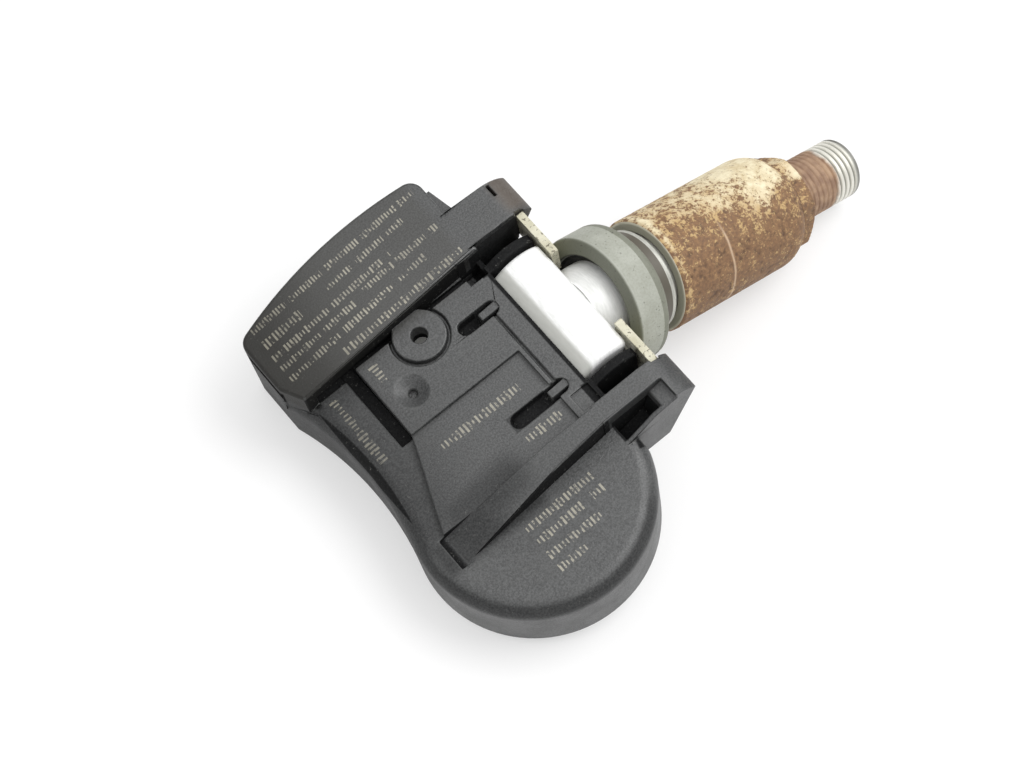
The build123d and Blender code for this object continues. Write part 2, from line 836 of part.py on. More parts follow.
cup_end = core_start - core_cup_gap
cup_start = cup_end - core_cup_length
core_pin_end = stem_end - core_pin_depth
with BuildPart() as valve_core_pin:
    turned(
        (
            (cup_start - core_pin_foot, 0),
            (cup_start - core_pin_foot, core_collar_r),
            (cup_start, core_collar_r),
            (cup_start, core_pin_r),
            (core_collar_start, core_pin_r),
            (core_collar_start, core_collar_r),
            (core_collar_start + core_collar_length, core_collar_r),
            (core_collar_start + core_collar_length, core_pin_r),
            (core_pin_end, core_pin_r),
            (core_pin_end, 0),
        )
    )
valve_core_pin.part.label = "valve_core_pin"

with BuildPart() as valve_core_cup:
    turned(
        (
            (cup_start, core_pin_r + fit_gap),
            (cup_start, core_cup_r),
            (cup_end, core_cup_r),
            (cup_end, core_pin_r + fit_gap),
        )
    )
valve_core_cup.part.label = "valve_core_cup"

spring_length = core_collar_start - core_spring_start - 2 * spring_wire_r - 2 * fit_gap
spring_r = (core_pin_r + core_spring_bore_r) / 2
spring_foot = valve_section.from_local_coords((core_spring_start + spring_wire_r + fit_gap, 0))
with BuildPart() as valve_core_spring:
    with BuildLine() as coil:
        Helix(spring_length / spring_turns, spring_length, spring_r, center=spring_foot, direction=valve_x)
    with BuildSketch(Plane(origin=coil.line @ 0, z_dir=coil.line % 0)):
        Circle(spring_wire_r)
    sweep(path=coil.line, is_frenet=True)
valve_core_spring.part.label = "valve_core_spring"

# Board on its posts, with the parts that stand on it
board_top = board_z + board_thickness
with BuildPart() as circuit_board:
    with BuildSketch(housing_plane.offset(board_z)):
        with Locations(((board_tail_x + board_front_x) / 2, (board_y[0] + board_y[1]) / 2)):
            RectangleRounded(board_front_x - board_tail_x, board_y[1] - board_y[0], board_corner)
    extrude(amount=board_thickness)
circuit_board.part.label = "circuit_board"

with BuildPart() as coin_cell:
    disc((lobe_x, lobe_y), cell_r, (cell_z, cell_z + cell_thickness - cell_rim))
    disc((lobe_x, lobe_y), cell_r - cell_rim, (cell_z, cell_z + cell_thickness))
coin_cell.part.label = "coin_cell"

# Welded tabs from the two faces of the cell to the board
tab_bend_y = lobe_y + cell_r + tab_bend_gap
tab_end_y = board_y[0] + tab_foot


def tab_profile(cell_face, board_face, outward):
    # Strip on the cell face, a step beside the cell, and a foot on the board
    thick = outward * tab_thickness
    Polyline(
        (tab_bend_y - tab_reach, cell_face),
        (tab_bend_y - tab_reach, cell_face + thick),
        (tab_bend_y + tab_thickness, cell_face + thick),
        (tab_bend_y + tab_thickness, board_face + thick),
        (tab_end_y, board_face + thick),
        (tab_end_y, board_face),
        (tab_bend_y, board_face),
        (tab_bend_y, cell_face),
        close=True,
    )


with BuildPart() as cell_tab_positive:
    with BuildSketch(housing_front.offset(lobe_x + tab_spread[1])):
        with BuildLine():
            tab_profile(cell_z + cell_thickness, board_top, 1)
        make_face()
    extrude(amount=tab_width)
cell_tab_positive.part.label = "cell_tab_positive"

with BuildPart() as cell_tab_negative:
    with BuildSketch(housing_front.offset(lobe_x + tab_spread[0])):
        with BuildLine():
            tab_profile(cell_z, board_z, -1)
        make_face()
    extrude(amount=tab_width)
cell_tab_negative.part.label = "cell_tab_negative"

# Pressure chip under the port, with its sealing sleeve and dust filter
chip_top = board_top + chip_height
chip_x = (boss_x - chip_side / 2, boss_x + chip_side / 2)
chip_y = (boss_y - chip_side / 2, boss_y + chip_side / 2)
port_ceiling = deck_z - ceiling
with BuildPart() as pressure_chip:
    block(chip_x, chip_y, (board_top, chip_top))
pressure_chip.part.label = "pressure_chip"

with BuildPart() as port_seal:
    disc((boss_x, boss_y), port_seal_r, (chip_top, port_ceiling))
    disc((boss_x, boss_y), port_seal_hole_r, (chip_top, port_ceiling), Mode.SUBTRACT)
port_seal.part.label = "port_seal"

with BuildPart() as port_filter:
    disc((boss_x, boss_y), port_seal_hole_r - fit_gap, (port_ceiling - filter_thickness, port_ceiling))
port_filter.part.label = "port_filter"


def on_board(place, size):
    # Small block that stands on the board
    x_span = (place[0] - size[0] / 2, place[0] + size[0] / 2)
    y_span = (place[1] - size[1] / 2, place[1] + size[1] / 2)
    block(x_span, y_span, (board_top, board_top + size[2]))


with BuildPart() as processor_chip:
    processor_x = board_tail_x + processor_inset
    on_board((processor_x, processor_y), (processor_side, processor_side, processor_height))
processor_chip.part.label = "processor_chip"

with BuildPart() as quartz_crystal:
    on_board(crystal_place, crystal_size)
quartz_crystal.part.label = "quartz_crystal"

with BuildPart() as capacitors:
    for index in range(capacitor_count):
        capacitor_x = board_tail_x + capacitor_inset + index * capacitor_pitch
        on_board((capacitor_x, capacitor_y), capacitor_size)
capacitors.part.label = "capacitors"

# Wake-up coil: flanged ferrite bar with its winding
coil_middle_z = board_top + coil_side / 2
with BuildPart() as coil_ferrite:
    for sign in (-1, 1):
        flange_x = coil_place[0] + sign * (coil_length - coil_flange) / 2
        on_board((flange_x, coil_place[1]), (coil_flange, coil_side, coil_side))
    core_x = (coil_place[0] - coil_length / 2, coil_place[0] + coil_length / 2)
    core_y = (coil_place[1] - coil_core_side / 2, coil_place[1] + coil_core_side / 2)
    core_z = (coil_middle_z - coil_core_side / 2, coil_middle_z + coil_core_side / 2)
    block(core_x, core_y, core_z)
coil_ferrite.part.label = "coil_ferrite"

with BuildPart() as coil_winding:
    wrap_x = (core_x[0] + coil_flange, core_x[1] - coil_flange)
    wrap_y = (core_y[0] - coil_wrap, core_y[1] + coil_wrap)
    wrap_z = (core_z[0] - coil_wrap, core_z[1] + coil_wrap)
    block(wrap_x, wrap_y, wrap_z)
    block(wrap_x, core_y, core_z, Mode.SUBTRACT)
coil_winding.part.label = "coil_winding"

# Aerial: a strip bent to a low bridge over the board
with BuildPart() as aerial_strip:
    low = board_tail_x + aerial_inset
    high = board_front_x - aerial_inset
    side_slab(
        (
            (low, board_top),
            (low, board_top + aerial_height),
            (high, board_top + aerial_height),
            (high, board_top),
            (high - aerial_sheet, board_top),
            (high - aerial_sheet, board_top + aerial_height - aerial_sheet),
            (low + aerial_sheet, board_top + aerial_height - aerial_sheet),
            (low + aerial_sheet, board_top),
        ),
        (aerial_y - aerial_width / 2, aerial_y + aerial_width / 2),
    )
aerial_strip.part.label = "aerial_strip"

pieces = (
    housing_shell,
    bottom_cover,
    retaining_bracket,
    valve_stem,
    rubber_seal,
    thrust_ring,
    sleeve_nut,
    valve_core_body,
    valve_core_gasket,
    valve_core_pin,
    valve_core_cup,
    valve_core_spring,
    circuit_board,
    coin_cell,
    cell_tab_positive,
    cell_tab_negative,
    pressure_chip,
    port_seal,
    port_filter,
    processor_chip,
    quartz_crystal,
    capacitors,
    coil_ferrite,
    coil_winding,
    aerial_strip,
)
os.makedirs("parts", exist_ok=True)
for piece in pieces:
    export_step(piece.part, f"parts/{piece.part.label}.step")

print("housing tilt", round(degrees(housing_tilt), 3), "valve dip", round(degrees(valve_dip), 3))
print("pivot", [round(value, 3) for value in pivot])
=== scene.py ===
import json
from math import atan2, cos, pi, radians, sin

import bmesh
import bpy
import numpy as np
from mathutils import Matrix, Vector


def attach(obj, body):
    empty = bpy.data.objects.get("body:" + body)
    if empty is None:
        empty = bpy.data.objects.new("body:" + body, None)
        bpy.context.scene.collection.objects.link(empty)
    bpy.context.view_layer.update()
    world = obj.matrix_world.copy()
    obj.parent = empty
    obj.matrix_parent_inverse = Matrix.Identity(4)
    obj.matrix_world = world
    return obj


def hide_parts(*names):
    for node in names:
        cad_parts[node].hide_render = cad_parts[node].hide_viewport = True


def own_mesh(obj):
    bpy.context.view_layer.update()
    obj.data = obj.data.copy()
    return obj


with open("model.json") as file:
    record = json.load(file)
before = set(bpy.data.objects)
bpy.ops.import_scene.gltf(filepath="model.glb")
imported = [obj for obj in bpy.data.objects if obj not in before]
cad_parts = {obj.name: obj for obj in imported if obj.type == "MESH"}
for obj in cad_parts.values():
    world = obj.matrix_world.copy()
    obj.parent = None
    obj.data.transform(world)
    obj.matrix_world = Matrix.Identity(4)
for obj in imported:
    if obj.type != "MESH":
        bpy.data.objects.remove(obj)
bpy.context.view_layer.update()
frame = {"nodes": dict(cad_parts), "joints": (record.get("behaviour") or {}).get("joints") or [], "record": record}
nodes = frame["nodes"]
joints = {joint["name"]: joint for joint in frame["joints"]}
mm = 0.001
print("frame loaded with", len(nodes), "nodes")

# how the two halves lie: the valve dips from the swivel, the housing lifts by the rest of the angle
lie = {"swivelAngle": 23.2, "swivelX": 0.3, "swivelZ": 0.75}
pivot = np.array(joints["housing_swivel"]["pos_m"])
pressAxis = joints["core_pin_press"]["axis"]
dip = atan2(pressAxis[2], -pressAxis[0])
tilt = radians(lie["swivelAngle"]) - dip
across = np.array([0.0, 1.0, 0.0])
valveX = np.array([cos(dip), 0.0, -sin(dip)])
valveUp = np.array([sin(dip), 0.0, cos(dip)])
housingX = np.array([cos(tilt), 0.0, sin(tilt)])
housingUp = np.array([-sin(tilt), 0.0, cos(tilt)])
datum = pivot - mm * (lie["swivelX"] * housingX + lie["swivelZ"] * housingUp)


def onValve(along, side, up):
    # point = pivot + distance along the valve + distance to the label side + distance up from its axis
    spread = np.stack(np.broadcast_arrays(along, side, up), -1)
    return pivot + mm * (spread[..., :1] * valveX + spread[..., 1:2] * across + spread[..., 2:] * valveUp)


def onHousing(x, y, z):
    # point = housing datum + millimetres along the housing's own three directions
    spread = np.stack(np.broadcast_arrays(x, y, z), -1)
    return datum + mm * (spread[..., :1] * housingX + spread[..., 1:2] * across + spread[..., 2:] * housingUp)


def ramp(low, high, value):
    # smooth step from 0 at low to 1 at high
    share = np.clip((value - low) / (high - low), 0, 1)
    return share * share * (3 - 2 * share)


def latticeNoise(points, seed):
    # value noise: a hashed number at each lattice corner, blended smoothly between the eight corners
    cell = np.floor(points).astype(np.int64)
    part = points - cell
    part = part * part * (3 - 2 * part)
    total = np.zeros(points.shape[:-1])
    for corner in range(8):
        step = np.array([corner & 1, corner >> 1 & 1, corner >> 2 & 1])
        at = cell + step
        mixed = at[..., 0] * 374761393 + at[..., 1] * 668265263 + at[..., 2] * 974634777 + seed * 69069
        mixed = (mixed ^ (mixed >> 13)) * 1274126177 & 0x7FFFFFFF
        mixed = (mixed ^ (mixed >> 16)) & 0xFFFF
        share = np.where(step == 1, part, 1 - part).prod(-1)
        total += share * mixed / 65535
    return total


def layeredNoise(points, size, layers, seed):
    # sum of value noises, each half the size and a bit over half the weight of the one before
    total = np.zeros(points.shape[:-1])
    weight, weights = 1.0, 0.0
    for layer in range(layers):
        total += weight * latticeNoise(points / size * 2**layer, seed + layer)
        weights += weight
        weight *= 0.6
    return total / weights


def newObject(name, data):
    item = bpy.data.objects.new(name, data)
    bpy.context.scene.collection.objects.link(item)
    return item


def newPiece(name, mesh, body, replaced, sharpAngle=40):
    # smooth mesh that rides on its body, in place of a node
    piece = newObject(name, mesh)
    mesh.shade_smooth()
    mesh.set_sharp_from_angle(angle=radians(sharpAngle))
    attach(piece, body)
    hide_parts(replaced)
    return piece


def gridMesh(name, points, closeRows=True, caps=False):
    # quads between neighbouring rows and columns of points, with the columns closed into rings
    rows, columns = points.shape[:2]
    index = np.arange(rows * columns).reshape(rows, columns)
    ends = [index[0, ::-1].tolist(), index[-1].tolist()] if caps else []
    if closeRows:
        index = np.vstack([index, index[:1]])
    index = np.hstack([index, index[:, :1]])
    corners = [index[:-1, :-1], index[:-1, 1:], index[1:, 1:], index[1:, :-1]]
    mesh = bpy.data.meshes.new(name)
    mesh.from_pydata(points.reshape(-1, 3).tolist(), [], np.stack(corners, -1).reshape(-1, 4).tolist() + ends)
    outward(mesh)
    return mesh


def outward(mesh):
    work = bmesh.new()
    work.from_mesh(mesh)
    bmesh.ops.recalc_face_normals(work, faces=work.faces)
    work.to_mesh(mesh)
    work.free()


def roundedLoop(corners, cuts, steps=6):
    # each corner becomes a quadratic curve that leaves the two sides at its cut distance
    corners = np.array(corners, float)
    cuts = np.array(cuts, float)[:, None]
    back = np.roll(corners, 1, 0) - corners
    ahead = np.roll(corners, -1, 0) - corners
    start = corners + cuts * back / np.linalg.norm(back, axis=1, keepdims=True)
    end = corners + cuts * ahead / np.linalg.norm(ahead, axis=1, keepdims=True)
    share = np.linspace(0, 1, steps)[None, :, None]
    curve = (1 - share) ** 2 * start[:, None] + 2 * share * (1 - share) * corners[:, None]
    curve = curve + share**2 * end[:, None]
    return curve.reshape(-1, 2)


def spun(profile, columns, wobble=None):
    # profile of distance and radius turned round the valve axis, the radius changed by the wobble
    turn = np.linspace(0, 2 * pi, columns, endpoint=False)[None, :]
    along = np.repeat(profile[:, :1], columns, 1)
    radius = np.repeat(profile[:, 1:], columns, 1)
    if wobble is not None:
        radius = radius + wobble(along, radius, turn)
    return onValve(along, radius * np.cos(turn), radius * np.sin(turn))


def values(items, key, width, kind=np.float64):
    # one property of all items as an array
    found = np.zeros(len(items) * width, kind)
    items.foreach_get(key, found)
    return found.reshape(-1, width) if width > 1 else found


def writeMark(mesh, name, domain, numbers):
    # one number for each point or edge, under a name that modifiers and materials read
    mark = mesh.attributes.new(name, "FLOAT", domain)
    mark.data.foreach_set("value", np.ravel(numbers).astype(np.float32))


def markEdges(mesh, soft):
    # edge weight where two faces meet at more than the angle, and at each point the share of hollow edges
    normals = values(mesh.polygons, "normal", 3)
    centers = values(mesh.polygons, "center", 3)
    faces = np.repeat(np.arange(len(mesh.polygons)), values(mesh.polygons, "loop_total", 1, np.int32))
    edges = values(mesh.loops, "edge_index", 1, np.int32)
    order = np.argsort(edges, kind="stable")
    edges, faces = edges[order], faces[order]
    twin = np.flatnonzero(edges[1:] == edges[:-1])
    first, second, edge = faces[twin], faces[twin + 1], edges[twin]
    angle = np.degrees(np.arccos(np.clip((normals[first] * normals[second]).sum(-1), -1, 1)))
    hollow = (normals[first] * (centers[second] - centers[first])).sum(-1) > 0
    sharp = (angle > soft["angle"]) & (angle < soft["keen"])
    weight = np.zeros(len(mesh.edges))
    weight[edge[sharp]] = 1.0
    spread = (values(mesh.vertices, "co", 3) - datum) / mm
    spread = np.stack([spread @ housingX, spread @ across, spread @ housingUp], -1)
    low, high = soft["plain"]
    inside = ((spread > low) & (spread < high)).all(-1)
    ends = values(mesh.edges, "vertices", 2, np.int32)
    weight[inside[ends].any(-1)] = 0.0
    writeMark(mesh, "bevel_weight_edge", "EDGE", weight)
    ends = ends[edge[sharp]]
    total = np.zeros((2, len(mesh.vertices)))
    np.add.at(total[0], ends, hollow[sharp][:, None].astype(float))
    np.add.at(total[1], ends, 1.0)
    writeMark(mesh, "hollow", "POINT", total[0] / np.maximum(total[1], 1))


mergeReach = 1e-6  # metres


def mergedCopy(node, name):
    # a solid's triangles joined into one skin
    work = bmesh.new()
    work.from_mesh(nodes[node].data)
    bmesh.ops.remove_doubles(work, verts=work.verts, dist=mergeReach)
    mesh = bpy.data.meshes.new(name)
    work.to_mesh(mesh)
    work.free()
    if "custom_normal" in mesh.attributes:
        mesh.attributes.remove(mesh.attributes["custom_normal"])
    return mesh


def softCopy(node, name, soft):
    # merged copy of a solid, whose sharp edges get a small round
    mesh = mergedCopy(node, name)
    markEdges(mesh, soft)
    piece = newPiece(name, mesh, soft["body"], node)
    bevel = piece.modifiers.new("softEdges", "BEVEL")
    bevel.width = soft["round"] * mm
    bevel.segments = soft["segments"]
    bevel.limit_method = "WEIGHT"
    bevel.use_clamp_overlap = False
    bevel.harden_normals = False
    bevel.material = 1
    return piece


# moulded housing, closing plate and sheet bracket keep the solids' shapes, with worn round edges
# edges between the angles get the round, save in a box that stays plain
allSoft = {"body": "housing", "segments": 2, "angle": 28, "keen": 112, "plain": ((0, 0, 0), (0, 0, 0))}
housingSoft = {**allSoft, "slot": "housing", "round": 0.15, "plain": ((-6.5, 7.9, 2.5), (-2.2, 12.2, 6.0))}
coverSoft = {**allSoft, "slot": "cover", "round": 0.1}
bracketSoft = {**allSoft, "slot": "bracket", "round": 0.14}
housing = softCopy("housing_shell", "moulded_housing", housingSoft)
cover = softCopy("bottom_cover", "closing_plate", coverSoft)
bracket = softCopy("retaining_bracket", "sheet_bracket", bracketSoft)
print("housing pieces made")

# valve: cross foot, flared neck, shank and the threaded mouth
stem = {
    "footR": 5.05,
    "footHalf": 8.2,
    "footFlat": 1.45,
    "footEdge": 0.7,
    "footBlend": 0.12,
    "footFar": 9.0,
    "neckRoot": 4.6,
    "neckR": 5.4,
    "neckEnd": 5.55,
    "neckFlareEnd": 3.95,
    "shankR": 5.0,
    "shankEnd": 13.6,
    "screwR": 4.8,
    "screwEnd": 34.0,
    "grooveR": 3.5,
    "threadStart": 36.7,
    "threadR": 3.85,
    "threadEnd": 46.6,
    "threadPitch": 0.8,
    "threadDepth": 0.34,
    "threadStep": 0.05,
    "threadFlank": (0.22, 0.5),
    "threadRunIn": (0.2, 1.0),
    "threadRunOut": (0.2, 0.9),
    "grimeFill": 0.55,
    "grimeTo": (43.2, 41.6),
    "tipRound": 0.4,
    "mouthR": 2.65,
    "mouthChamfer": 0.35,
    "chamberStart": 25.6,
    "airR": 1.4,
}


def footSurface():
    # bar across the valve: a circle cut by a flat, smaller towards each end by a quarter round
    turn = np.linspace(0, 2 * pi, 128, endpoint=False)[None, :]
    flat = stem["footFlat"] / np.maximum(np.cos(turn), 0.05)
    edge = stem["footBlend"]
    flat = np.minimum(flat, stem["footFar"])
    radius = -edge * np.log(np.exp(-stem["footR"] / edge) + np.exp(-flat / edge))
    bend = np.linspace(0, pi / 2, 9)
    inset = stem["footEdge"] * (1 - np.cos(bend))
    reach = stem["footHalf"] - stem["footEdge"] * (1 - np.sin(bend))
    side = np.concatenate([-reach[::-1], reach])[:, None]
    shrink = np.concatenate([inset[::-1], inset])[:, None]
    radius = radius - shrink
    return onValve(radius * np.cos(turn), side, radius * np.sin(turn))


def threadDip(along, radius, turn):
    # groove that climbs one pitch a turn, deepest half way between crests, faded at both ends and in the bore
    phase = (along / stem["threadPitch"] - turn / (2 * pi)) % 1.0
    groove = ramp(*stem["threadFlank"], np.minimum(phase, 1 - phase))
    runIn, runOut = stem["threadRunIn"], stem["threadRunOut"]
    live = ramp(stem["threadStart"] + runIn[0], stem["threadStart"] + runIn[1], along)
    live = live * ramp(stem["threadEnd"] - runOut[0], stem["threadEnd"] - runOut[1], along)
    grime = 1 - stem["grimeFill"] * ramp(*stem["grimeTo"], along)
    return -stem["threadDepth"] * groove * live * grime * (radius > stem["mouthR"] + 0.5)


def stemProfile():
    # half section of the turned part, from the bore at the foot round the outside to the mouth and back
    flareAlong = np.linspace(stem["footFlat"] - 0.2, stem["neckFlareEnd"], 16)
    share = (flareAlong - flareAlong[0]) / (flareAlong[-1] - flareAlong[0])
    flareR = stem["neckRoot"] + (stem["neckR"] - stem["neckRoot"]) * np.sin(share * pi / 2)
    flare = np.stack([flareAlong, flareR], -1)
    inner = np.array([(0.0, stem["airR"]), (0.0, stem["neckRoot"])])
    middle = np.array(
        [
            (stem["neckEnd"], stem["neckR"]),
            (stem["neckEnd"], stem["shankR"]),
            (stem["shankEnd"], stem["shankR"]),
            (stem["shankEnd"], stem["screwR"]),
            (stem["screwEnd"], stem["screwR"]),
            (stem["screwEnd"], stem["grooveR"]),
            (stem["threadStart"] - 0.1, stem["grooveR"]),
            (stem["threadStart"], stem["threadR"]),
        ]
    )
    step, tipRound = stem["threadStep"], stem["tipRound"]
    threadAlong = np.arange(stem["threadStart"] + step, stem["threadEnd"] - tipRound, step)
    thread = np.stack([threadAlong, np.full_like(threadAlong, stem["threadR"])], -1)
    bend = np.linspace(0, pi / 2, 8)
    tipAlong = stem["threadEnd"] - tipRound + tipRound * np.sin(bend)
    tip = np.stack([tipAlong, stem["threadR"] - tipRound + tipRound * np.cos(bend)], -1)
    mouth = np.array(
        [
            (stem["threadEnd"], stem["mouthR"] + stem["mouthChamfer"]),
            (stem["threadEnd"] - stem["mouthChamfer"], stem["mouthR"]),
            (stem["chamberStart"], stem["mouthR"]),
            (stem["chamberStart"], stem["airR"]),
        ]
    )
    return np.concatenate([inner, flare, middle, thread, tip, mouth])


def united(target, tool, operation):
    # boolean of two closed skins, kept as the target's mesh
    holder, other = newObject("holder", target), newObject("other", tool)
    cut = holder.modifiers.new("cut", "BOOLEAN")
    cut.operation = operation
    cut.solver = "EXACT"
    cut.object = other
    bpy.context.view_layer.update()
    result = bpy.data.meshes.new_from_object(holder.evaluated_get(bpy.context.evaluated_depsgraph_get()))
    for item in (holder, other):
        bpy.data.objects.remove(item)
    return result


footMesh = gridMesh("foot", footSurface(), closeRows=False, caps=True)
boreRing = np.array([(-stem["footR"] - 1.0, stem["airR"]), (0.5, stem["airR"])])
footMesh = united(footMesh, gridMesh("bore", spun(boreRing, 96), closeRows=False, caps=True), "DIFFERENCE")
stemMesh = gridMesh("stem", spun(stemProfile(), 96, threadDip))
stemMesh = united(stemMesh, footMesh, "UNION")
stemMesh.name = "turned_valve"
valve = newPiece("turned_valve", stemMesh, "valve", "valve_stem", 34)
print("valve made", len(stemMesh.polygons), "faces")

# rubber seal and the bright ring behind it
seal = {
    "corners": (
        (5.55, 5.05), (5.55, 6.1), (4.55, 6.5), (4.55, 8.65),
        (9.05, 8.65), (9.05, 7.7), (9.85, 7.5), (9.85, 5.05),
    ),
    "cuts": (0.02, 0.3, 0.2, 0.35, 0.55, 0.15, 0.2, 0.02),
    "dentSize": 1.6,
    "dentFrom": (0.62, 0.8),
    "dentDepth": 0.05,
    "wornR": (7.0, 8.0),
}
ring = {
    "corners": (
        (9.85, 5.05), (9.85, 6.4), (12.3, 6.4), (12.3, 5.6), (14.2, 5.6), (14.2, 5.05),
    ),
    "cuts": (0.02, 0.2, 0.25, 0.05, 0.15, 0.02),
}


def denser(loop, step):
    # same closed loop with extra points, so that no side is longer than the step
    closed = np.vstack([loop, loop[:1]])
    lengths = np.linalg.norm(np.diff(closed, axis=0), axis=1)
    reach = np.concatenate([[0], np.cumsum(lengths)])
    extra = np.arange(0, reach[-1], step)
    at = np.unique(np.concatenate([reach[:-1], extra]))
    return np.stack([np.interp(at, reach, closed[:, 0]), np.interp(at, reach, closed[:, 1])], -1)


def sealWear(along, radius, turn):
    # shallow dents of used rubber, only on the outer half
    points = np.stack(np.broadcast_arrays(along, radius * np.cos(turn), radius * np.sin(turn)), -1)
    dents = ramp(*seal["dentFrom"], layeredNoise(points, seal["dentSize"], 3, 11))
    return -seal["dentDepth"] * dents * ramp(*seal["wornR"], radius)


sealLoop = denser(roundedLoop(seal["corners"], seal["cuts"]), 0.25)
sealMesh = gridMesh("rubber_grommet", spun(sealLoop, 220, sealWear))
sealPiece = newPiece("rubber_grommet", sealMesh, "valve", "rubber_seal")
ringLoop = denser(roundedLoop(ring["corners"], ring["cuts"]), 0.5)
ringMesh = gridMesh("bright_ring", spun(ringLoop, 160))
ringPiece = newPiece("bright_ring", ringMesh, "valve", "thrust_ring")
print("seal and ring made")

# corroded sleeve nut: barrel, rounded shoulder, hexagon, and a pale coat that flakes off the rust
nut = {
    "start": 12.95,
    "radius": 7.32,
    "edge": 0.3,
    "mouthR": 5.9,
    "mouthEnd": 14.25,
    "boreR": 4.85,
    "boreEnd": 34.05,
    "barrelEnd": 31.2,
    "shoulderR": 4.33,
    "flats": 11.0,
    "hexTurn": 15.0,
    "hexBlend": 0.06,
    "hexLimit": 6.28,
    "end": 36.7,
    "faceR": 5.35,
    "endChamfer": 0.65,
    "holeR": 4.3,
    "columns": 430,
    "step": 0.115,
    "pitDepth": 0.12,
    "coatThick": 0.05,
    "scratchAt": 21.1,
    "scratchWide": 0.13,
}
# noises of the nut's skin: size, layers, seed
nutNoise = {"patches": (2.6, 4, 3), "flakes": (0.55, 3, 17), "speckle": (0.35, 2, 41), "pits": (0.6, 3, 29)}
# share of the coat that is left in each zone, then where the zones lie along the nut and round it in degrees
coatLeft = {"barrel": 0.27, "upper": 0.26, "near": 0.26, "rim": 0.2, "hexagon": 0.26, "hexUpper": 0.24}
coatPlace = {
    "near": (20.5, 28.0),
    "nearEnd": (34.5, 32.0),
    "rimAt": 13.6,
    "rimWide": 0.5,
    "hexagon": (33.0, 33.6),
    "upper": ((150, 62), (-20, 20)),
    "hexUpper": ((112, 96), (30, 50)),
    "scratch": ((95, 120), (215, 190)),
}


def nutRadius(along, turn):
    # the larger of barrel and hexagon at each place, the hexagon's corners cut by the end cone
    past = np.clip(along - nut["barrelEnd"], 0, nut["shoulderR"])
    barrel = nut["radius"] - nut["shoulderR"] + np.sqrt(np.maximum(nut["shoulderR"] ** 2 - past**2, 0))
    barrel = np.minimum(barrel, nut["radius"] - nut["edge"] + np.clip(along - nut["start"], 0, nut["edge"]))
    fromFlat = (turn - radians(nut["hexTurn"]) + pi / 6 + pi / 6) % (pi / 3) - pi / 6
    hexagon = nut["flats"] / 2 / np.cos(fromFlat)
    soft = nut["hexBlend"]
    hexagon = -soft * np.log(np.exp(-hexagon / soft) + np.exp(-nut["hexLimit"] / soft))
    slope = (nut["flats"] / np.sqrt(3) - nut["faceR"]) / nut["endChamfer"]
    cone = nut["faceR"] + slope * np.maximum(nut["end"] - along, 0)
    hexagon = np.minimum(hexagon, cone)
    return np.where(along > nut["barrelEnd"], np.maximum(barrel, hexagon), barrel), hexagon - barrel


def between(zone, value):
    # product of the smooth steps at both sides of a zone
    return ramp(*zone[0], value) * ramp(*zone[1], value)


def coatCover(along, turn):
    # how much of the pale coat is left: most on the upper side near the hexagon, least below
    angle = np.degrees(turn) % 360
    upper = between(coatPlace["upper"], angle) + ramp(330, 360, angle) * 0.6
    near = ramp(*coatPlace["near"], along) * ramp(*coatPlace["nearEnd"], along)
    rim = np.exp(-(((along - coatPlace["rimAt"]) / coatPlace["rimWide"]) ** 2))
    cover = coatLeft["barrel"] + coatLeft["upper"] * upper
    cover = cover + coatLeft["near"] * upper * near + coatLeft["rim"] * rim
    onHexagon = ramp(*coatPlace["hexagon"], along)
    hexCover = coatLeft["hexagon"] + coatLeft["hexUpper"] * between(coatPlace["hexUpper"], angle)
    return cover * (1 - onHexagon) + hexCover * onHexagon


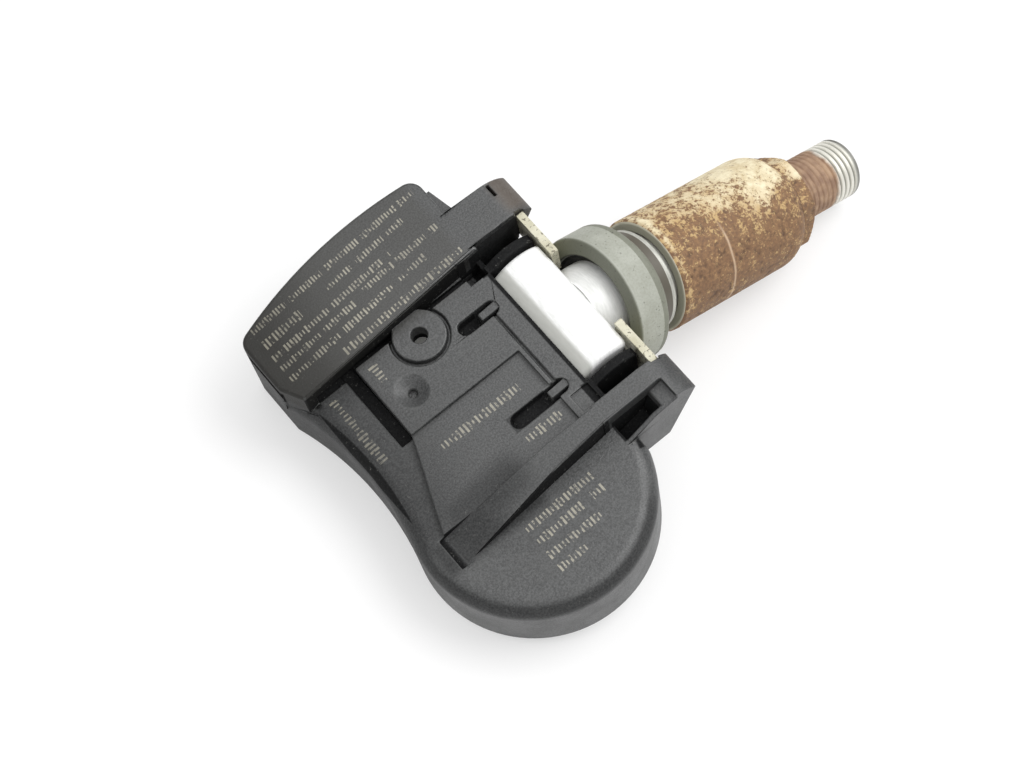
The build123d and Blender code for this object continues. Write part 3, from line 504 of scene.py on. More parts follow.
def nutSurface():
    # rings of points along the outside, then back along the bore
    turn = np.linspace(0, 2 * pi, nut["columns"], endpoint=False)[None, :]
    outAlong = np.arange(nut["start"], nut["end"], nut["step"])
    outAlong = np.append(outAlong, nut["end"])[:, None]
    outer, above = nutRadius(outAlong, turn)
    along = np.repeat(outAlong, nut["columns"], 1)
    points = np.stack([along, outer * np.cos(turn), outer * np.sin(turn)], -1)
    coarse = layeredNoise(points, *nutNoise["patches"])
    fine = layeredNoise(points, *nutNoise["flakes"])
    cover = coatCover(along, turn) + 0.5 * (coarse - 0.5)
    speckle = layeredNoise(points, *nutNoise["speckle"])
    coat = ramp(-0.12, 0.12, cover + 0.5 * (fine - 0.5) + 0.5 * (speckle - 0.5) - 0.5)
    scratch = np.exp(-(((along - nut["scratchAt"] - 0.25 * (coarse - 0.5)) / nut["scratchWide"]) ** 2))
    angle = np.degrees(turn) % 360
    scratch = scratch * between(coatPlace["scratch"], angle)
    pits = ramp(0.55, 0.85, layeredNoise(points, *nutNoise["pits"])) * (1 - coat)
    notch = np.exp(-(((above + 0.04 - 0.2 * (fine - 0.5)) / 0.1) ** 2)) * (along > nut["barrelEnd"])
    pits = np.maximum(pits, notch)
    sink = nut["coatThick"] * (1 - coat) + nut["pitDepth"] * pits * 0.7 + 0.03 * fine
    edgeFade = ramp(nut["start"], nut["start"] + 0.25, along)
    outer = outer - sink * edgeFade
    frontR = nut["mouthR"] + (outer[:1] - nut["mouthR"]) * np.array([0.0, 0.35, 0.7])[:, None]
    backR = outer[-1:] + (nut["holeR"] - outer[-1:]) * np.array([0.3, 0.65, 1.0])[:, None]
    ones = np.ones_like(turn)
    inner = [
        (nut["boreEnd"], nut["holeR"]),
        (nut["boreEnd"], nut["boreR"]),
        (nut["mouthEnd"], nut["boreR"]),
        (nut["mouthEnd"], nut["mouthR"]),
    ]
    innerAlong = np.array([place[0] for place in inner])[:, None] * ones
    innerR = np.array([place[1] for place in inner])[:, None] * ones
    frontAlong = np.full_like(frontR, nut["start"])
    backAlong = np.full_like(backR, nut["end"])
    allAlong = np.concatenate([frontAlong, along, backAlong, innerAlong])
    allR = np.concatenate([frontR, outer, backR, innerR])

    def padded(numbers, front, back):
        # the outside's numbers with fixed ones for both end faces, and none in the bore
        ends = np.full(frontR.shape, front), np.full(backR.shape, back)
        return np.concatenate([ends[0], numbers, ends[1], np.zeros(innerR.shape)])

    marks = {"cover": padded(cover, 0.0, 0.2), "scratch": padded(scratch, 0.0, 0.0)}
    marks["pits"] = padded(pits, 0.3, 0.3)
    return onValve(allAlong, allR * np.cos(turn), allR * np.sin(turn)), marks


nutPoints, nutMarks = nutSurface()
nutMesh = gridMesh("corroded_nut", nutPoints)
for markName, markNumbers in nutMarks.items():
    writeMark(nutMesh, markName, "POINT", markNumbers)
nutPiece = newPiece("corroded_nut", nutMesh, "valve", "sleeve_nut", 50)
print("nut made", len(nutMesh.polygons), "faces")

# spring of the valve core: a merged copy with a mesh of its own, and each point's reach along the valve
springMesh = mergedCopy("valve_core_spring", "coiled_spring")
springPiece = newPiece("coiled_spring", springMesh, "valve", "valve_core_spring")
springReach = (values(springMesh.vertices, "co", 3) - pivot) @ valveX
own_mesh(springPiece)


# materials
def feed(tree, socket, value):
    # a socket takes a link or a constant
    if isinstance(value, bpy.types.NodeSocket):
        tree.links.new(value, socket)
    else:
        socket.default_value = value


def put(tree, kind, inputs=None, **settings):
    node = tree.nodes.new("ShaderNode" + kind)
    for key, value in settings.items():
        setattr(node, key, value)
    for key, value in (inputs or {}).items():
        feed(tree, node.inputs[key], value)
    return node


def newGroup(name, inputs, outputs):
    group = bpy.data.node_groups.new(name, "ShaderNodeTree")
    for label, kind in inputs:
        group.interface.new_socket(label, in_out="INPUT", socket_type="NodeSocket" + kind)
    for label, kind in outputs:
        group.interface.new_socket(label, in_out="OUTPUT", socket_type="NodeSocket" + kind)
    return group, group.nodes.new("NodeGroupInput").outputs, group.nodes.new("NodeGroupOutput").inputs


def math(tree, operation, *parts, clamp=False):
    return put(tree, "Math", dict(enumerate(parts)), operation=operation, use_clamp=clamp).outputs[0]


def times(tree, first, *others):
    # product of all parts
    for part in others:
        first = math(tree, "MULTIPLY", first, part)
    return first


def most(tree, first, *others):
    # largest of all parts
    for part in others:
        first = math(tree, "MAXIMUM", first, part)
    return first


def gap(tree, first, second):
    # distance between two values
    return math(tree, "ABSOLUTE", math(tree, "SUBTRACT", first, second))


def blend(tree, factor, first, second, share=1.0):
    # the first colour goes over to the second by the factor times the share
    if share != 1.0:
        factor = math(tree, "MULTIPLY", factor, share)
    return put(tree, "Mix", {0: factor, 6: first, 7: second}, data_type="RGBA").outputs[2]


def span(tree, value, low, high, toLow=0.0, toHigh=1.0):
    # smooth step between two values, also downwards
    inputs = {"Value": value, "From Min": low, "From Max": high, "To Min": toLow, "To Max": toHigh}
    return put(tree, "MapRange", inputs, interpolation_type="SMOOTHSTEP").outputs["Result"]


def band(tree, value, rise, fall):
    # product of a rising and a falling smooth step
    return times(tree, span(tree, value, *rise), span(tree, value, *fall))


def axes(tree, vector):
    return put(tree, "SeparateXYZ", {"Vector": vector}).outputs


def rgb(red, green, blue):
    # colour as seen on screen, 0 to 255, made linear
    share = np.array([red, green, blue]) / 255
    linear = np.where(share > 0.04045, ((share + 0.055) / 1.055) ** 2.4, share / 12.92)
    return (*linear.tolist(), 1.0)


def makeGrain():
    # even mould grain: noise of a given size in millimetres, as a mask and a height
    inputs = (("Vector", "Vector"), ("Size", "Float"), ("Rough", "Float"))
    group, given, result = newGroup("mouldGrain", inputs, (("Mask", "Float"), ("Height", "Float")))
    scale = math(group, "DIVIDE", 1.0, given["Size"])
    noise = {"Vector": given["Vector"], "Scale": scale, "Detail": 3.0, "Roughness": given["Rough"]}
    wide = put(group, "TexNoise", noise).outputs["Fac"]
    group.links.new(span(group, wide, 0.3, 0.7), result["Mask"])
    group.links.new(wide, result["Height"])
    return group


speckPeaks = {"top": 0.78, "reach": 0.36, "soft": 0.06}


def makeSpecks():
    # scattered specks: only the noise above a level counts, and the level sinks with the amount
    inputs = (("Vector", "Vector"), ("Size", "Float"), ("Amount", "Float"))
    group, given, result = newGroup("specks", inputs, (("Mask", "Float"),))
    scale = math(group, "DIVIDE", 1.0, given["Size"])
    noise = {"Vector": given["Vector"], "Scale": scale, "Detail": 4.0, "Roughness": 0.65}
    fine = put(group, "TexNoise", noise).outputs["Fac"]
    level = math(group, "SUBTRACT", speckPeaks["top"], times(group, given["Amount"], speckPeaks["reach"]))
    over = math(group, "DIVIDE", math(group, "SUBTRACT", fine, level), speckPeaks["soft"], clamp=True)
    group.links.new(over, result["Mask"])
    return group


rowPlace = ("X", "Y", "Z")
rowSizes = ("Start X", "Start Y", "Length", "Slope", "Height", "Level", "Bar", "Letter")
rowResults = ("Inside", "Bars", "Blocks", "Away", "Key")
levelReach = 0.1


def makeRow():
    # slanting strip at one height: 1 inside, bars and blocks run so far, share of its height from the middle line
    inputs = [(label, "Float") for label in rowPlace + rowSizes]
    group, given, result = newGroup("printRow", inputs, [(label, "Float") for label in rowResults])
    run = math(group, "SUBTRACT", given["X"], given["Start X"])
    half = times(group, given["Length"], 0.5)
    offset = math(group, "SUBTRACT", given["Y"], given["Start Y"])
    away = math(group, "DIVIDE", gap(group, offset, times(group, run, given["Slope"])), given["Height"])
    inside = math(group, "LESS_THAN", gap(group, run, half), half)
    inside = times(group, inside, math(group, "LESS_THAN", away, 0.5))
    inside = times(group, inside, math(group, "LESS_THAN", gap(group, given["Z"], given["Level"]), levelReach))
    bars, blocks = math(group, "DIVIDE", run, given["Bar"]), math(group, "DIVIDE", run, given["Letter"])
    for label, value in zip(rowResults, (1.0, bars, blocks, away, given["Start Y"])):
        group.links.new(times(group, inside, value), result[label])
    return group


grainGroup, speckGroup, rowGroup = makeGrain(), makeSpecks(), makeRow()


def useGroup(tree, group, inputs):
    return put(tree, "Group", inputs, node_tree=group).outputs


def grained(tree, place, size, rough=0.6):
    return useGroup(tree, grainGroup, {"Vector": place, "Size": size, "Rough": rough})


def specked(tree, place, size, amount):
    return useGroup(tree, speckGroup, {"Vector": place, "Size": size, "Amount": amount})["Mask"]


def newMaterial(name, placed="housing"):
    # material whose coordinates are millimetres in the housing's or the valve's own directions
    material = bpy.data.materials.new(name)
    material.use_nodes = True
    tree = material.node_tree
    coord = put(tree, "TexCoord").outputs["Object"]
    mapping = put(tree, "Mapping", {"Vector": coord, "Scale": (mm, mm, mm)}, vector_type="TEXTURE")
    mapping.inputs["Location"].default_value = tuple(datum if placed == "housing" else pivot)
    mapping.inputs["Rotation"].default_value = (0, -tilt if placed == "housing" else dip, 0)
    return material, tree, mapping.outputs["Vector"]


def dress(tree, looks, height, distance, strength):
    # colours and masks into the material's shader, and a bump of so many millimetres
    shader = tree.nodes["Principled BSDF"]
    for key, value in looks.items():
        feed(tree, shader.inputs[key], value)
    bump = put(tree, "Bump", {"Height": height, "Distance": distance * mm, "Strength": strength})
    tree.links.new(bump.outputs["Normal"], shader.inputs["Normal"])


def boxMask(tree, apart, low, high, soft):
    # product over three directions of a fall with the distance from the box's middle, half way down at its sides
    total = 1.0
    for axis, least, greatest in zip("XYZ", low, high):
        reach = (greatest - least) / 2
        away = gap(tree, apart[axis], least + reach)
        total = times(tree, total, span(tree, away, reach + soft, reach - soft))
    return total


plastic = {
    "dark": rgb(23, 24, 25),
    "light": rgb(72, 73, 73),
    "edge": rgb(84, 85, 84),
    "deep": rgb(9, 9, 10),
    "label": rgb(38, 36, 29),
    "print": rgb(176, 171, 154),
    "worn": rgb(92, 80, 68),
    "dust": rgb(132, 132, 127),
    "grain": 0.22,
    "labelBox": ((-40.0, 9.6, 3.6), (-4.0, 30.0, 9.0), 0.8),
    "labelTail": (-10.0, -30.0, 0.45, 0.85),
    "tipBox": ((3.4, 12.5, 3.0), (8.0, 20.0, 9.0), 0.9),
    "flecks": (0.36, 0.5),
    "rubbed": (0, 1, 0.5, 0.72),
}
# blind rows: start x, start y, length, slope, height, level of the face, bar, block
labelRows = (
    (-28.5, 20.35, 24.8, 0.066, 0.95, 6.8, 5.6, 0.42),
    (-28.4, 18.1, 5.6, 0.085, 1.35, 6.8, 8.0, 0.5),
    (-18.6, 19.0, 11.8, 0.085, 0.95, 6.8, 4.6, 0.45),
    (-28.6, 16.1, 18.4, 0.085, 1.0, 6.8, 9.0, 0.46),
    (-15.6, 16.0, 11.4, 0.07, 0.95, 6.8, 5.2, 0.43),
    (-28.6, 14.5, 11.4, 0.085, 0.95, 6.8, 6.4, 0.44),
    (-28.6, 12.8, 21.0, 0.09, 1.0, 6.8, 8.4, 0.46),
    (-21.8, 11.4, 20.0, 0.065, 1.1, 6.8, 10.0, 0.52),
)
lidRows = (
    (-20.2, -3.95, 12.6, 0.0, 1.3, 4.2, 14.0, 0.55),
    (-12.4, -9.6, 5.3, 0.0, 1.25, 4.2, 6.0, 0.52),
    (-19.1, -17.6, 11.6, 0.03, 1.15, 3.4, 12.4, 0.52),
    (-19.0, -19.5, 9.7, 0.03, 1.15, 3.4, 8.0, 0.52),
    (-19.1, -21.5, 7.7, 0.0, 1.15, 3.4, 9.0, 0.52),
    (-19.1, -23.4, 4.0, 0.0, 1.15, 3.4, 5.0, 0.52),
)
# rows that run across the housing, read from the label side
crossRows = (
    (-8.9, -26.2, 9.6, 0.0, 1.3, 3.4, 12.0, 0.55),
    (-8.8, -20.3, 2.4, 0.0, 1.25, 4.8, 3.0, 0.55),
)
# shaded recesses as boxes: pockets and cheeks by the foot, finger slots, lip gap, grooves, pit of the arm
recesses = (
    ((-3.9, 8.75, -6.0), (3.7, 12.02, 5.9)),
    ((-3.9, -12.02, -6.0), (3.7, -8.75, 5.9)),
    ((-10.4, 4.3, 2.4), (-7.3, 6.5, 4.2)),
    ((-12.8, -8.3, 2.4), (-7.3, -6.1, 4.2)),
    ((-3.35, -8.9, 3.0), (-2.4, 8.9, 5.2)),
    ((-28.4, -18.4, 1.9), (-2.6, 12.3, 3.1)),
    ((-4.1, -16.8, 0.0), (2.2, -14.4, 4.7)),
    ((-36.0, 12.4, 3.6), (-28.6, 19.4, 5.75)),
)
# walls in the shade that look to the lobe side: inner side of the label block and outer side of the rib
shadeWalls = (
    ((-32.0, 9.2, 2.2), (-4.5, 12.4, 6.5)),
    ((-28.0, -17.6, 2.2), (-4.4, -11.8, 6.4)),
)
# soft shades with their softness and strength: tail end of the rib, valley beside the panel
softShades = (
    ((-29.0, -16.6, 2.7), (-15.0, -12.0, 4.9), 0.9, 0.55),
    ((-26.0, -15.0, 2.0), (-14.5, -9.0, 6.4), 2.0, 0.5),
)
shades = {
    "soft": 0.12,
    "lobeward": (-0.35, -0.7),
    "tailX": (-13.0, -30.0, 0.0, 0.52),
    "tailY": (-18.0, -10.0),
    "rimZ": ((1.1, 2.2), (3.38, 2.9)),
    "rimX": (-4.0, -7.0),
    "rimY": (9.8, 8.6),
    "rim": 0.5,
}


# the part left to chance and the least share, for a bar's length, a block's width and its height
inkShares = {"bar": (0.2, 0.78), "wide": (0.25, 0.32), "tall": (0.25, 0.25)}


def printMask(tree, place, apart, cloud):
    # rows don't overlap, so their sums are those of the one row at a place; its bars are cut into blocks by
    # chance, broken into flecks and rubbed off unevenly. Cross rows run towards -y
    along = [apart["X"], apart["Y"], apart["Z"]]
    athwart = [times(tree, apart["Y"], -1.0), apart["X"], apart["Z"]]
    total = dict.fromkeys(rowResults, 0.0)
    for spot, rows in ((along, labelRows + lidRows), (athwart, crossRows)):
        for row in rows:
            found = useGroup(tree, rowGroup, dict(zip(rowPlace + rowSizes, (*spot, *row))))
            total = {label: math(tree, "ADD", total[label], found[label]) for label in rowResults}

    def chanceOf(steps):
        key = put(tree, "CombineXYZ", {"X": math(tree, "FLOOR", steps), "Y": total["Key"]}).outputs["Vector"]
        return put(tree, "TexWhiteNoise", {"Vector": key}, noise_dimensions="3D").outputs["Value"]

    def below(value, chance, shares):
        return math(tree, "LESS_THAN", value, math(tree, "MULTIPLY_ADD", chance, *shares))

    bars, blocks = total["Bars"], total["Blocks"]
    ink = times(tree, total["Inside"], below(math(tree, "FRACT", bars), chanceOf(bars), inkShares["bar"]))
    chance = chanceOf(blocks)
    ink = times(tree, ink, below(math(tree, "FRACT", blocks), chance, inkShares["wide"]))
    ink = times(tree, ink, below(total["Away"], chance, inkShares["tall"]))
    flecks = span(tree, grained(tree, place, 0.5, 0.5)["Height"], *plastic["flecks"])
    return times(tree, ink, flecks, span(tree, cloud, *plastic["rubbed"]))


def shadeMask(tree, apart):
    # largest of all shades: recesses, walls by their facing, soft boxes, the lid's tail end and the rim
    total = 0.0
    for low, high in recesses:
        total = most(tree, total, boxMask(tree, apart, low, high, shades["soft"]))
    normal = axes(tree, put(tree, "NewGeometry").outputs["Normal"])
    facing = span(tree, normal["Y"], *shades["lobeward"])
    for low, high in shadeWalls:
        total = most(tree, total, times(tree, boxMask(tree, apart, low, high, shades["soft"]), facing))
    for low, high, soft, strength in softShades:
        total = most(tree, total, times(tree, boxMask(tree, apart, low, high, soft), strength))
    tail = times(tree, span(tree, apart["X"], *shades["tailX"]), span(tree, apart["Y"], *shades["tailY"]))
    rim = times(tree, band(tree, apart["Z"], *shades["rimZ"]), span(tree, apart["X"], *shades["rimX"]))
    rim = times(tree, rim, shades["rim"], span(tree, apart["Y"], *shades["rimY"]))
    return most(tree, total, tail, rim)


# worn=True is for the bevel faces: lighter convex edges, partly wear and partly painted highlight, and hollow
# edges in painted shade
def housingMaterial(name, worn=False, printed=False):
    material, tree, place = newMaterial(name)
    apart = axes(tree, place)
    grain = grained(tree, place, plastic["grain"], 0.65)
    cloud = grained(tree, place, 4.0)["Mask"]
    color = blend(tree, grain["Mask"], plastic["dark"], plastic["light"])
    color = blend(tree, cloud, color, plastic["edge"], 0.18)
    label = boxMask(tree, apart, *plastic["labelBox"])
    label = times(tree, label, span(tree, apart["X"], *plastic["labelTail"]))
    color = blend(tree, label, color, plastic["label"])
    color = blend(tree, boxMask(tree, apart, *plastic["tipBox"]), color, plastic["worn"], 0.6)
    color = blend(tree, specked(tree, place, 0.45, 0.22), color, plastic["dust"], 0.5)
    # bevel faces: convex edges lighter, partly edge wear and partly painted highlight; hollow edges near black,
    # painted shade in the creases
    if worn:
        hollow = put(tree, "Attribute", attribute_name="hollow").outputs["Fac"]
        color = blend(tree, cloud, color, plastic["edge"], 0.7)
        color = blend(tree, span(tree, hollow, 0.3, 0.8), color, plastic["deep"], 0.85)
    if printed:
        color = blend(tree, printMask(tree, place, apart, cloud), color, plastic["print"])
    # painted shade: where the shade mask lies, the colour goes over to near black, with light dust specks in it
    shade = shadeMask(tree, apart)
    shadeWithDust = blend(tree, specked(tree, place, 0.4, 0.42), plastic["deep"], plastic["dust"], 0.45)
    looks = {
        "Base Color": blend(tree, shade, color, shadeWithDust, 0.82),
        "Roughness": math(tree, "MULTIPLY_ADD", shade, 0.3, span(tree, cloud, 0, 1, 0.4, 0.5)),
        "Specular IOR Level": span(tree, shade, 0, 1, 0.9, 0.15),
    }
    dress(tree, looks, grain["Height"], 0.06, 0.8)
    return material


def assign(piece, *materials):
    piece.data.materials.clear()
    for material in materials:
        piece.data.materials.append(material)


moulding = housingMaterial("blackMoulding", printed=True)
assign(housing, moulding, housingMaterial("blackMouldingEdge", worn=True))
assign(cover, housingMaterial("plateMoulding"), housingMaterial("plateMouldingEdge", worn=True))

gilt = {"base": rgb(192, 188, 164), "bright": rgb(218, 215, 196), "dark": rgb(104, 98, 80)}


def bracketMaterial():
    material, tree, place = newMaterial("paleGiltSheet")
    specks = specked(tree, place, 0.5, 0.6)
    cloud = grained(tree, place, 2.0)["Mask"]
    color = blend(tree, cloud, gilt["base"], gilt["bright"])
    looks = {
        "Base Color": blend(tree, specks, color, gilt["dark"]),
        "Metallic": span(tree, specks, 0, 1, 0.3, 0.0),
        "Roughness": span(tree, cloud, 0, 1, 0.4, 0.6),
    }
    dress(tree, looks, specks, 0.03, -0.6)
    return material


assign(bracket, bracketMaterial())
bracket.modifiers["softEdges"].material = -1

# colours, then where along the valve or from its axis each of them begins and ends, in millimetres
alloy = {
    "base": rgb(232, 233, 231),
    "bright": rgb(250, 250, 249),
    "speck": rgb(140, 136, 126),
    "line": rgb(96, 96, 92),
    "shade": rgb(168, 169, 161),
    "thread": rgb(226, 224, 214),
    "grime": rgb(132, 98, 74),
    "grimePale": rgb(172, 140, 110),
    "lathe": (6.0, 1.0, 1.0),
    "rootLine": ((1.47, 1.5), (1.68, 1.6)),
    "neck": ((1.6, 2.0), (6.0, 5.6)),
    "under": (-3.25, -3.7),
    "threadFrom": (34.0, 35.0),
    "grooveFrom": (37.0, 37.5),
    "grooveOut": (3.8, 3.6),
    "grooveIn": (3.0, 3.2),
    "tipFrom": (45.6, 46.2),
    "grimeFrom": (30.0, 31.0),
    "grimeTo": (43.2, 42.2),
    "grimeWander": 2.0,
    "brightFrom": (36.0, 37.0),
}


def reachFromAxis(tree, apart):
    # distance from the valve axis: root of the sum of squares
    squares = math(tree, "ADD", math(tree, "POWER", apart["Y"], 2.0), math(tree, "POWER", apart["Z"], 2.0))
    return math(tree, "SQRT", squares)


def turnedMarks(tree, place, stretch, size):
    # grain drawn out round the axis, as a lathe leaves it
    stretched = put(tree, "Mapping", {"Vector": place, "Scale": stretch}).outputs["Vector"]
    return grained(tree, stretched, size)


def valveMaterial():
    material, tree, place = newMaterial("satinAlloy", "valve")
    apart = axes(tree, place)
    along, reach = apart["X"], reachFromAxis(tree, apart)
    lathe = turnedMarks(tree, place, alloy["lathe"], 1.2)
    color = blend(tree, lathe["Mask"], alloy["base"], alloy["bright"])
    color = blend(tree, specked(tree, place, 0.8, 0.2), color, alloy["speck"], 0.4)
    color = blend(tree, band(tree, along, *alloy["rootLine"]), color, alloy["line"], 0.75)
    color = blend(tree, band(tree, along, *alloy["neck"]), color, alloy["shade"], 0.28)
    color = blend(tree, span(tree, along, *alloy["under"]), color, alloy["shade"], 0.75)
    color = blend(tree, span(tree, along, *alloy["threadFrom"]), color, alloy["thread"])
    # thread roots painted darker: painted shade in the thread's grooves
    groove = times(tree, span(tree, along, *alloy["grooveFrom"]), span(tree, reach, *alloy["grooveIn"]))
    groove = times(tree, span(tree, reach, *alloy["grooveOut"]), groove)
    color = blend(tree, groove, color, alloy["line"], 0.6)
    color = blend(tree, span(tree, along, *alloy["tipFrom"]), color, alloy["line"], 0.85)
    cloud = grained(tree, place, 2.2)["Height"]
    wander = times(tree, math(tree, "SUBTRACT", cloud, 0.5), alloy["grimeWander"])
    grimeEnd = span(tree, math(tree, "ADD", along, wander), *alloy["grimeTo"])
    grime = times(tree, grimeEnd, span(tree, along, *alloy["grimeFrom"]))
    rings = put(tree, "TexNoise", {"Vector": place, "Scale": 0.8, "Detail": 4.0}).outputs["Fac"]
    grimeColor = blend(tree, span(tree, rings, 0.3, 0.75), alloy["grime"], alloy["grimePale"])
    bright = times(tree, span(tree, along, *alloy["brightFrom"]), math(tree, "SUBTRACT", 1.0, grime))
    looks = {
        "Base Color": blend(tree, grime, color, grimeColor, 0.93),
        "Metallic": span(tree, bright, 0, 1, 0.12, 0.3),
        "Roughness": span(tree, grime, 0, 1, 0.42, 0.75),
    }
    dress(tree, looks, lathe["Height"], 0.02, 0.3)
    return material


assign(valve, valveMaterial())

rubber = {
    "base": rgb(158, 160, 149),
    "pale": rgb(172, 174, 164),
    "dark": rgb(110, 112, 98),
    "groove": rgb(34, 34, 30),
    "face": (4.85, 4.7),
    "recessR": (6.75, 6.45),
    "recessTo": (6.5, 6.0),
    "backFrom": (8.0, 8.15),
    "seam": ((4.62, 4.7), (4.98, 4.84)),
}


def sealMaterial():
    material, tree, place = newMaterial("greyRubber", "valve")
    apart = axes(tree, place)
    along, reach = apart["X"], reachFromAxis(tree, apart)
    cloud = grained(tree, place, 3.0)["Mask"]
    grain = grained(tree, place, 0.25)
    color = blend(tree, cloud, rubber["base"], rubber["pale"])
    color = blend(tree, grain["Mask"], color, rubber["dark"], 0.2)
    # painted shade: the left face darker, the recess round the neck near black, and the back side darker
    color = blend(tree, span(tree, along, *rubber["face"]), color, rubber["dark"], 0.9)
    recess = times(tree, span(tree, reach, *rubber["recessR"]), span(tree, along, *rubber["recessTo"]))
    color = blend(tree, recess, color, rubber["groove"])
    color = blend(tree, span(tree, along, *rubber["backFrom"]), color, rubber["dark"], 0.8)
    color = blend(tree, band(tree, along, *rubber["seam"]), color, rubber["pale"], 0.5)
    nicks = specked(tree, place, 0.5, 0.4)
    looks = {
        "Base Color": blend(tree, nicks, color, rubber["groove"], 0.6),
        "Roughness": span(tree, grain["Mask"], 0, 1, 0.55, 0.7),
    }
    dress(tree, looks, grain["Height"], 0.03, 0.4)
    return material


assign(sealPiece, sealMaterial())

turned = {
    "base": rgb(176, 176, 168),
    "bright": rgb(204, 204, 196),
    # colour of the painted shade on the ring's end under the seal's step
    "coatFilmAndShade": rgb(92, 87, 77),
    "ringShadeTo": (11.7, 11.6),
    "lathe": (8.0, 1.0, 1.0),
}


def ringMaterial():
    material, tree, place = newMaterial("brightTurned", "valve")
    lathe = turnedMarks(tree, place, turned["lathe"], 1.5)
    # painted shade: the ring's end next to the seal goes dark and not metallic, as the shade under the seal's step
    coatFilmAndShade = span(tree, axes(tree, place)["X"], *turned["ringShadeTo"])
    color = blend(tree, lathe["Mask"], turned["base"], turned["bright"])
    looks = {
        "Base Color": blend(tree, coatFilmAndShade, color, turned["coatFilmAndShade"]),
        "Metallic": span(tree, coatFilmAndShade, 0, 1, 0.4, 0.0),
        "Roughness": span(tree, lathe["Mask"], 0, 1, 0.38, 0.5),
    }
    dress(tree, looks, lathe["Height"], 0.02, 0.3)
    return material


assign(ringPiece, ringMaterial())

rust = {
    "brown": rgb(120, 89, 64),
    "umber": rgb(98, 71, 50),
    "deep": rgb(84, 62, 46),
    "tan": rgb(160, 126, 90),
    "gold": rgb(188, 158, 110),
    "coat": rgb(230, 220, 190),
    "coatDull": rgb(204, 186, 148),
    "pale": rgb(204, 178, 150),
    "steel": rgb(156, 154, 138),
    "steelEdge": rgb(196, 192, 174),
    "patches": (1.5, 1.1, 1.3),
    "coatFrom": (0.4, 0.62),
    "thinCoat": (0.72, 0.42),
    "face": (13.03, 12.98),
    "faceEdge": (6.75, 6.9),
}


def nutMaterial():
    material, tree, place = newMaterial("rustedCoatedSteel", "valve")
    apart = axes(tree, place)
    markNames = ("cover", "scratch", "pits")
    cover, scratch, pits = [put(tree, "Attribute", attribute_name=mark).outputs["Fac"] for mark in markNames]
    fine = grained(tree, place, 0.35, 0.7)
    crumbs = grained(tree, place, 0.5, 0.8)["Height"]
    bits = grained(tree, place, 1.3, 0.8)
    bare = blend(tree, fine["Mask"], rust["umber"], rust["tan"])
    bare = blend(tree, span(tree, bits["Mask"], 0, 1, 0.4, 0.85), rust["brown"], bare)
    bare = blend(tree, pits, bare, rust["deep"], 0.8)
    coatFilmAndShade = blend(tree, bits["Mask"], rust["coatDull"], rust["coat"])
    coatFilmAndShade = blend(tree, span(tree, cover, *rust["thinCoat"]), coatFilmAndShade, rust["gold"])
    coatFilmAndShade = blend(tree, specked(tree, place, 0.6, 0.5), coatFilmAndShade, rust["brown"], 0.6)
    small, large, less = rust["patches"]
    patchy = math(tree, "ADD", times(tree, crumbs, small), times(tree, bits["Height"], large))
    level = math(tree, "ADD", math(tree, "SUBTRACT", patchy, less), cover)
    color = blend(tree, span(tree, level, *rust["coatFrom"]), bare, coatFilmAndShade)
    color = blend(tree, pits, color, rust["deep"], 0.35)
    color = blend(tree, scratch, color, rust["pale"], 0.85)
    faceEdge = span(tree, reachFromAxis(tree, apart), *rust["faceEdge"])
    steel = blend(tree, faceEdge, rust["steel"], rust["steelEdge"])
    looks = {
        "Base Color": blend(tree, span(tree, apart["X"], *rust["face"]), color, steel),
        "Roughness": span(tree, fine["Mask"], 0, 1, 0.62, 0.85),
    }
    dress(tree, looks, fine["Height"], 0.05, 0.5)
    return material


assign(nutPiece, nutMaterial())

# small parts of the valve core and the inside keep the solids: dark, light, metal, roughness, size of grain
finishes = {
    "core_brass": (rgb(196, 164, 92), rgb(222, 196, 128), 0.9, 0.35, 0.4),
    "core_pin": (rgb(200, 172, 104), rgb(228, 206, 150), 0.9, 0.32, 0.4),
    "core_gasket": (rgb(34, 34, 34), rgb(52, 52, 51), 0.0, 0.7, 0.3),
    "spring_wire": (rgb(150, 151, 152), rgb(190, 191, 191), 0.9, 0.35, 0.3),
    "board": (rgb(26, 84, 50), rgb(38, 104, 64), 0.0, 0.4, 1.2),
    "cell": (rgb(172, 173, 174), rgb(204, 205, 205), 0.9, 0.35, 1.6),
    "tab": (rgb(176, 175, 170), rgb(206, 205, 200), 0.9, 0.38, 0.8),
    "chip": (rgb(38, 38, 40), rgb(54, 54, 56), 0.0, 0.55, 0.3),
    "filter": (rgb(214, 213, 208), rgb(236, 235, 231), 0.0, 0.9, 0.2),
    "capacitor": (rgb(160, 126, 92), rgb(190, 156, 118), 0.0, 0.45, 0.3),
    "ferrite": (rgb(64, 64, 66), rgb(84, 84, 86), 0.0, 0.6, 0.3),
    "copper_wire": (rgb(150, 84, 48), rgb(190, 116, 70), 0.8, 0.35, 0.25),
}
slotOf = {entry["node"]: entry["material_slot"] for entry in frame["record"]["subparts"]}


def finishMaterial(slotName):
    dark, light, metal, rough, size = finishes[slotName]
    material, tree, place = newMaterial(slotName + "Finish")
    grain = grained(tree, place, size)
    looks = {
        "Base Color": blend(tree, grain["Mask"], dark, light),
        "Roughness": span(tree, grain["Mask"], 0, 1, rough, rough + 0.15),
        "Metallic": metal,
    }
    dress(tree, looks, grain["Height"], 0.02, 0.3)
    return material


made = {slotName: finishMaterial(slotName) for slotName in finishes}
assign(springPiece, made["spring_wire"])
for nodeName, node in nodes.items():
    if slotOf[nodeName] in made:
        assign(node, made[slotOf[nodeName]])
print("materials made")

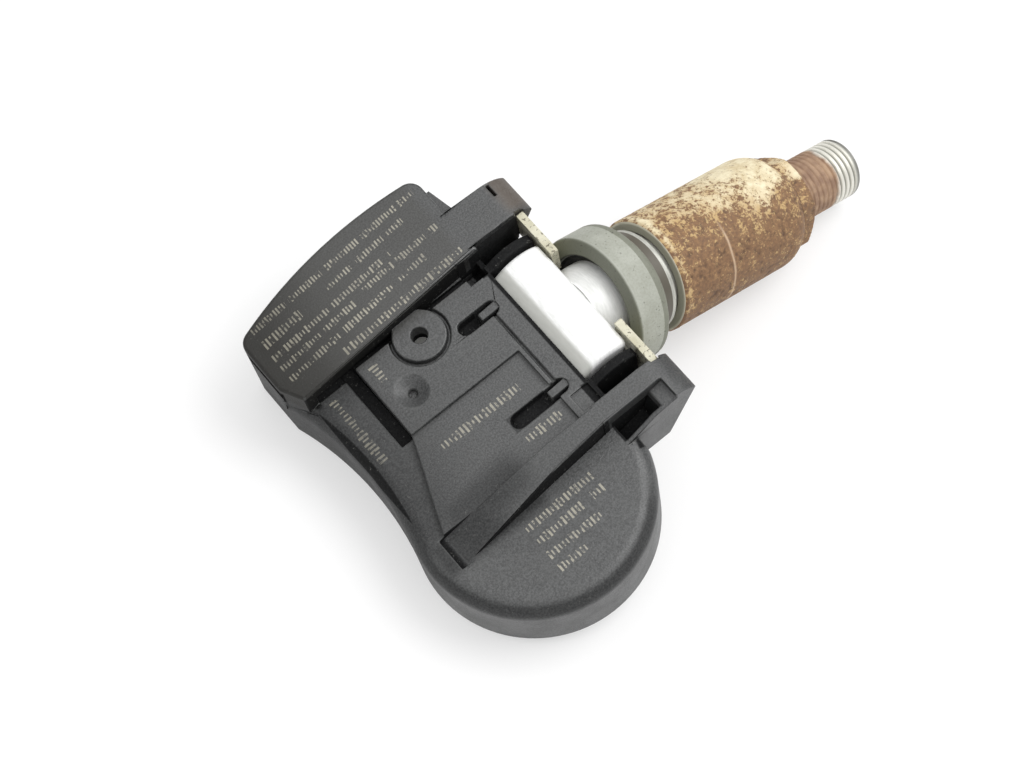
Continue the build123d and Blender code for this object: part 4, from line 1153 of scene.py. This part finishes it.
# table, light and camera
stage = {
    "size": 3.0,
    "lamp": 4.5,
    "lampSize": 0.7,
    "lampAt": (0.42, -0.2, 0.82),
    "horizon": 0.08,
    "zenith": 1.2,
    "floor": 0.92,
    "floorRough": 0.9,
    "floorGlow": 0.5,
    "skyFrom": (0.15, 0.75),
}
floorMesh = bpy.data.meshes.new("table")
half = stage["size"] / 2
floorCorners = [(-half, -half, 0), (half, -half, 0), (half, half, 0), (-half, half, 0)]
floorMesh.from_pydata(floorCorners, [], [(0, 1, 2, 3)])
floor = newObject("table", floorMesh)
floorMaterial = bpy.data.materials.new("whiteTable")
floorMaterial.use_nodes = True
floorTree = floorMaterial.node_tree
floorShader = floorTree.nodes["Principled BSDF"]
floorShader.inputs["Base Color"].default_value = (stage["floor"], stage["floor"], stage["floor"], 1)
floorShader.inputs["Roughness"].default_value = stage["floorRough"]
floorShader.inputs["Specular IOR Level"].default_value = 0.0
glow = put(floorTree, "Emission", {"Color": (1, 1, 1, 1), "Strength": 1.0})
rays = put(floorTree, "LightPath").outputs
seen = most(floorTree, rays["Is Camera Ray"], rays["Is Glossy Ray"], rays["Is Transmission Ray"])
glowShare = times(floorTree, seen, stage["floorGlow"])
floorParts = {0: glowShare, 1: floorShader.outputs["BSDF"], 2: glow.outputs["Emission"]}
floorMix = put(floorTree, "MixShader", floorParts)
floorTree.links.new(floorMix.outputs["Shader"], floorTree.nodes["Material Output"].inputs["Surface"])
floor.data.materials.append(floorMaterial)

world = bpy.data.worlds.new("studio")
bpy.context.scene.world = world
world.use_nodes = True
worldTree = world.node_tree
background = worldTree.nodes["Background"]
background.inputs["Color"].default_value = (1, 1, 1, 1)
worldRays = put(worldTree, "LightPath").outputs
worldSeen = most(worldTree, worldRays["Is Camera Ray"], worldRays["Is Transmission Ray"])
skyward = axes(worldTree, put(worldTree, "TexCoord").outputs["Generated"])["Z"]
sky = span(worldTree, skyward, *stage["skyFrom"], stage["horizon"], stage["zenith"])
strength = math(worldTree, "MULTIPLY_ADD", worldSeen, math(worldTree, "SUBTRACT", 1.0, sky), sky)
worldTree.links.new(strength, background.inputs["Strength"])

lamp = bpy.data.lights.new("softLamp", "AREA")
lamp.shape = "DISK"
lamp.size = stage["lampSize"]
lamp.energy = stage["lamp"]
lampObject = newObject("softLamp", lamp)
lampObject.location = stage["lampAt"]
lampObject.rotation_euler = (-Vector(stage["lampAt"])).to_track_quat("-Z", "Y").to_euler()

# camera as it stood for the photograph, in the housing's own directions
view = {
    "place": (-55.721, -102.489, 283.613),
    "right": (0.772536, -0.627807, -0.095114),
    "up": (0.615989, 0.704635, 0.352203),
    "focal": 2643.34,
    "width": 1024,
    "sensor": 36.0,
}
camera = bpy.data.cameras.new("photoCamera")
camera.sensor_width = view["sensor"]
camera.sensor_fit = "HORIZONTAL"
camera.lens = view["focal"] * view["sensor"] / view["width"]
camera.clip_start = 0.01
turnHousing = np.stack([housingX, across, housingUp], 1)
right = Vector(turnHousing @ np.array(view["right"])).normalized()
up = Vector(turnHousing @ np.array(view["up"]))
back = right.cross(up).normalized()
up = back.cross(right)
cameraMatrix = Matrix((right, up, back)).transposed().to_4x4()
cameraMatrix.translation = Vector(onHousing(*view["place"]))
cameraObject = newObject("photoCamera", camera)
cameraObject.matrix_world = cameraMatrix
bpy.context.scene.camera = cameraObject
bpy.context.scene.view_settings.view_transform = "Standard"
print("stage made")
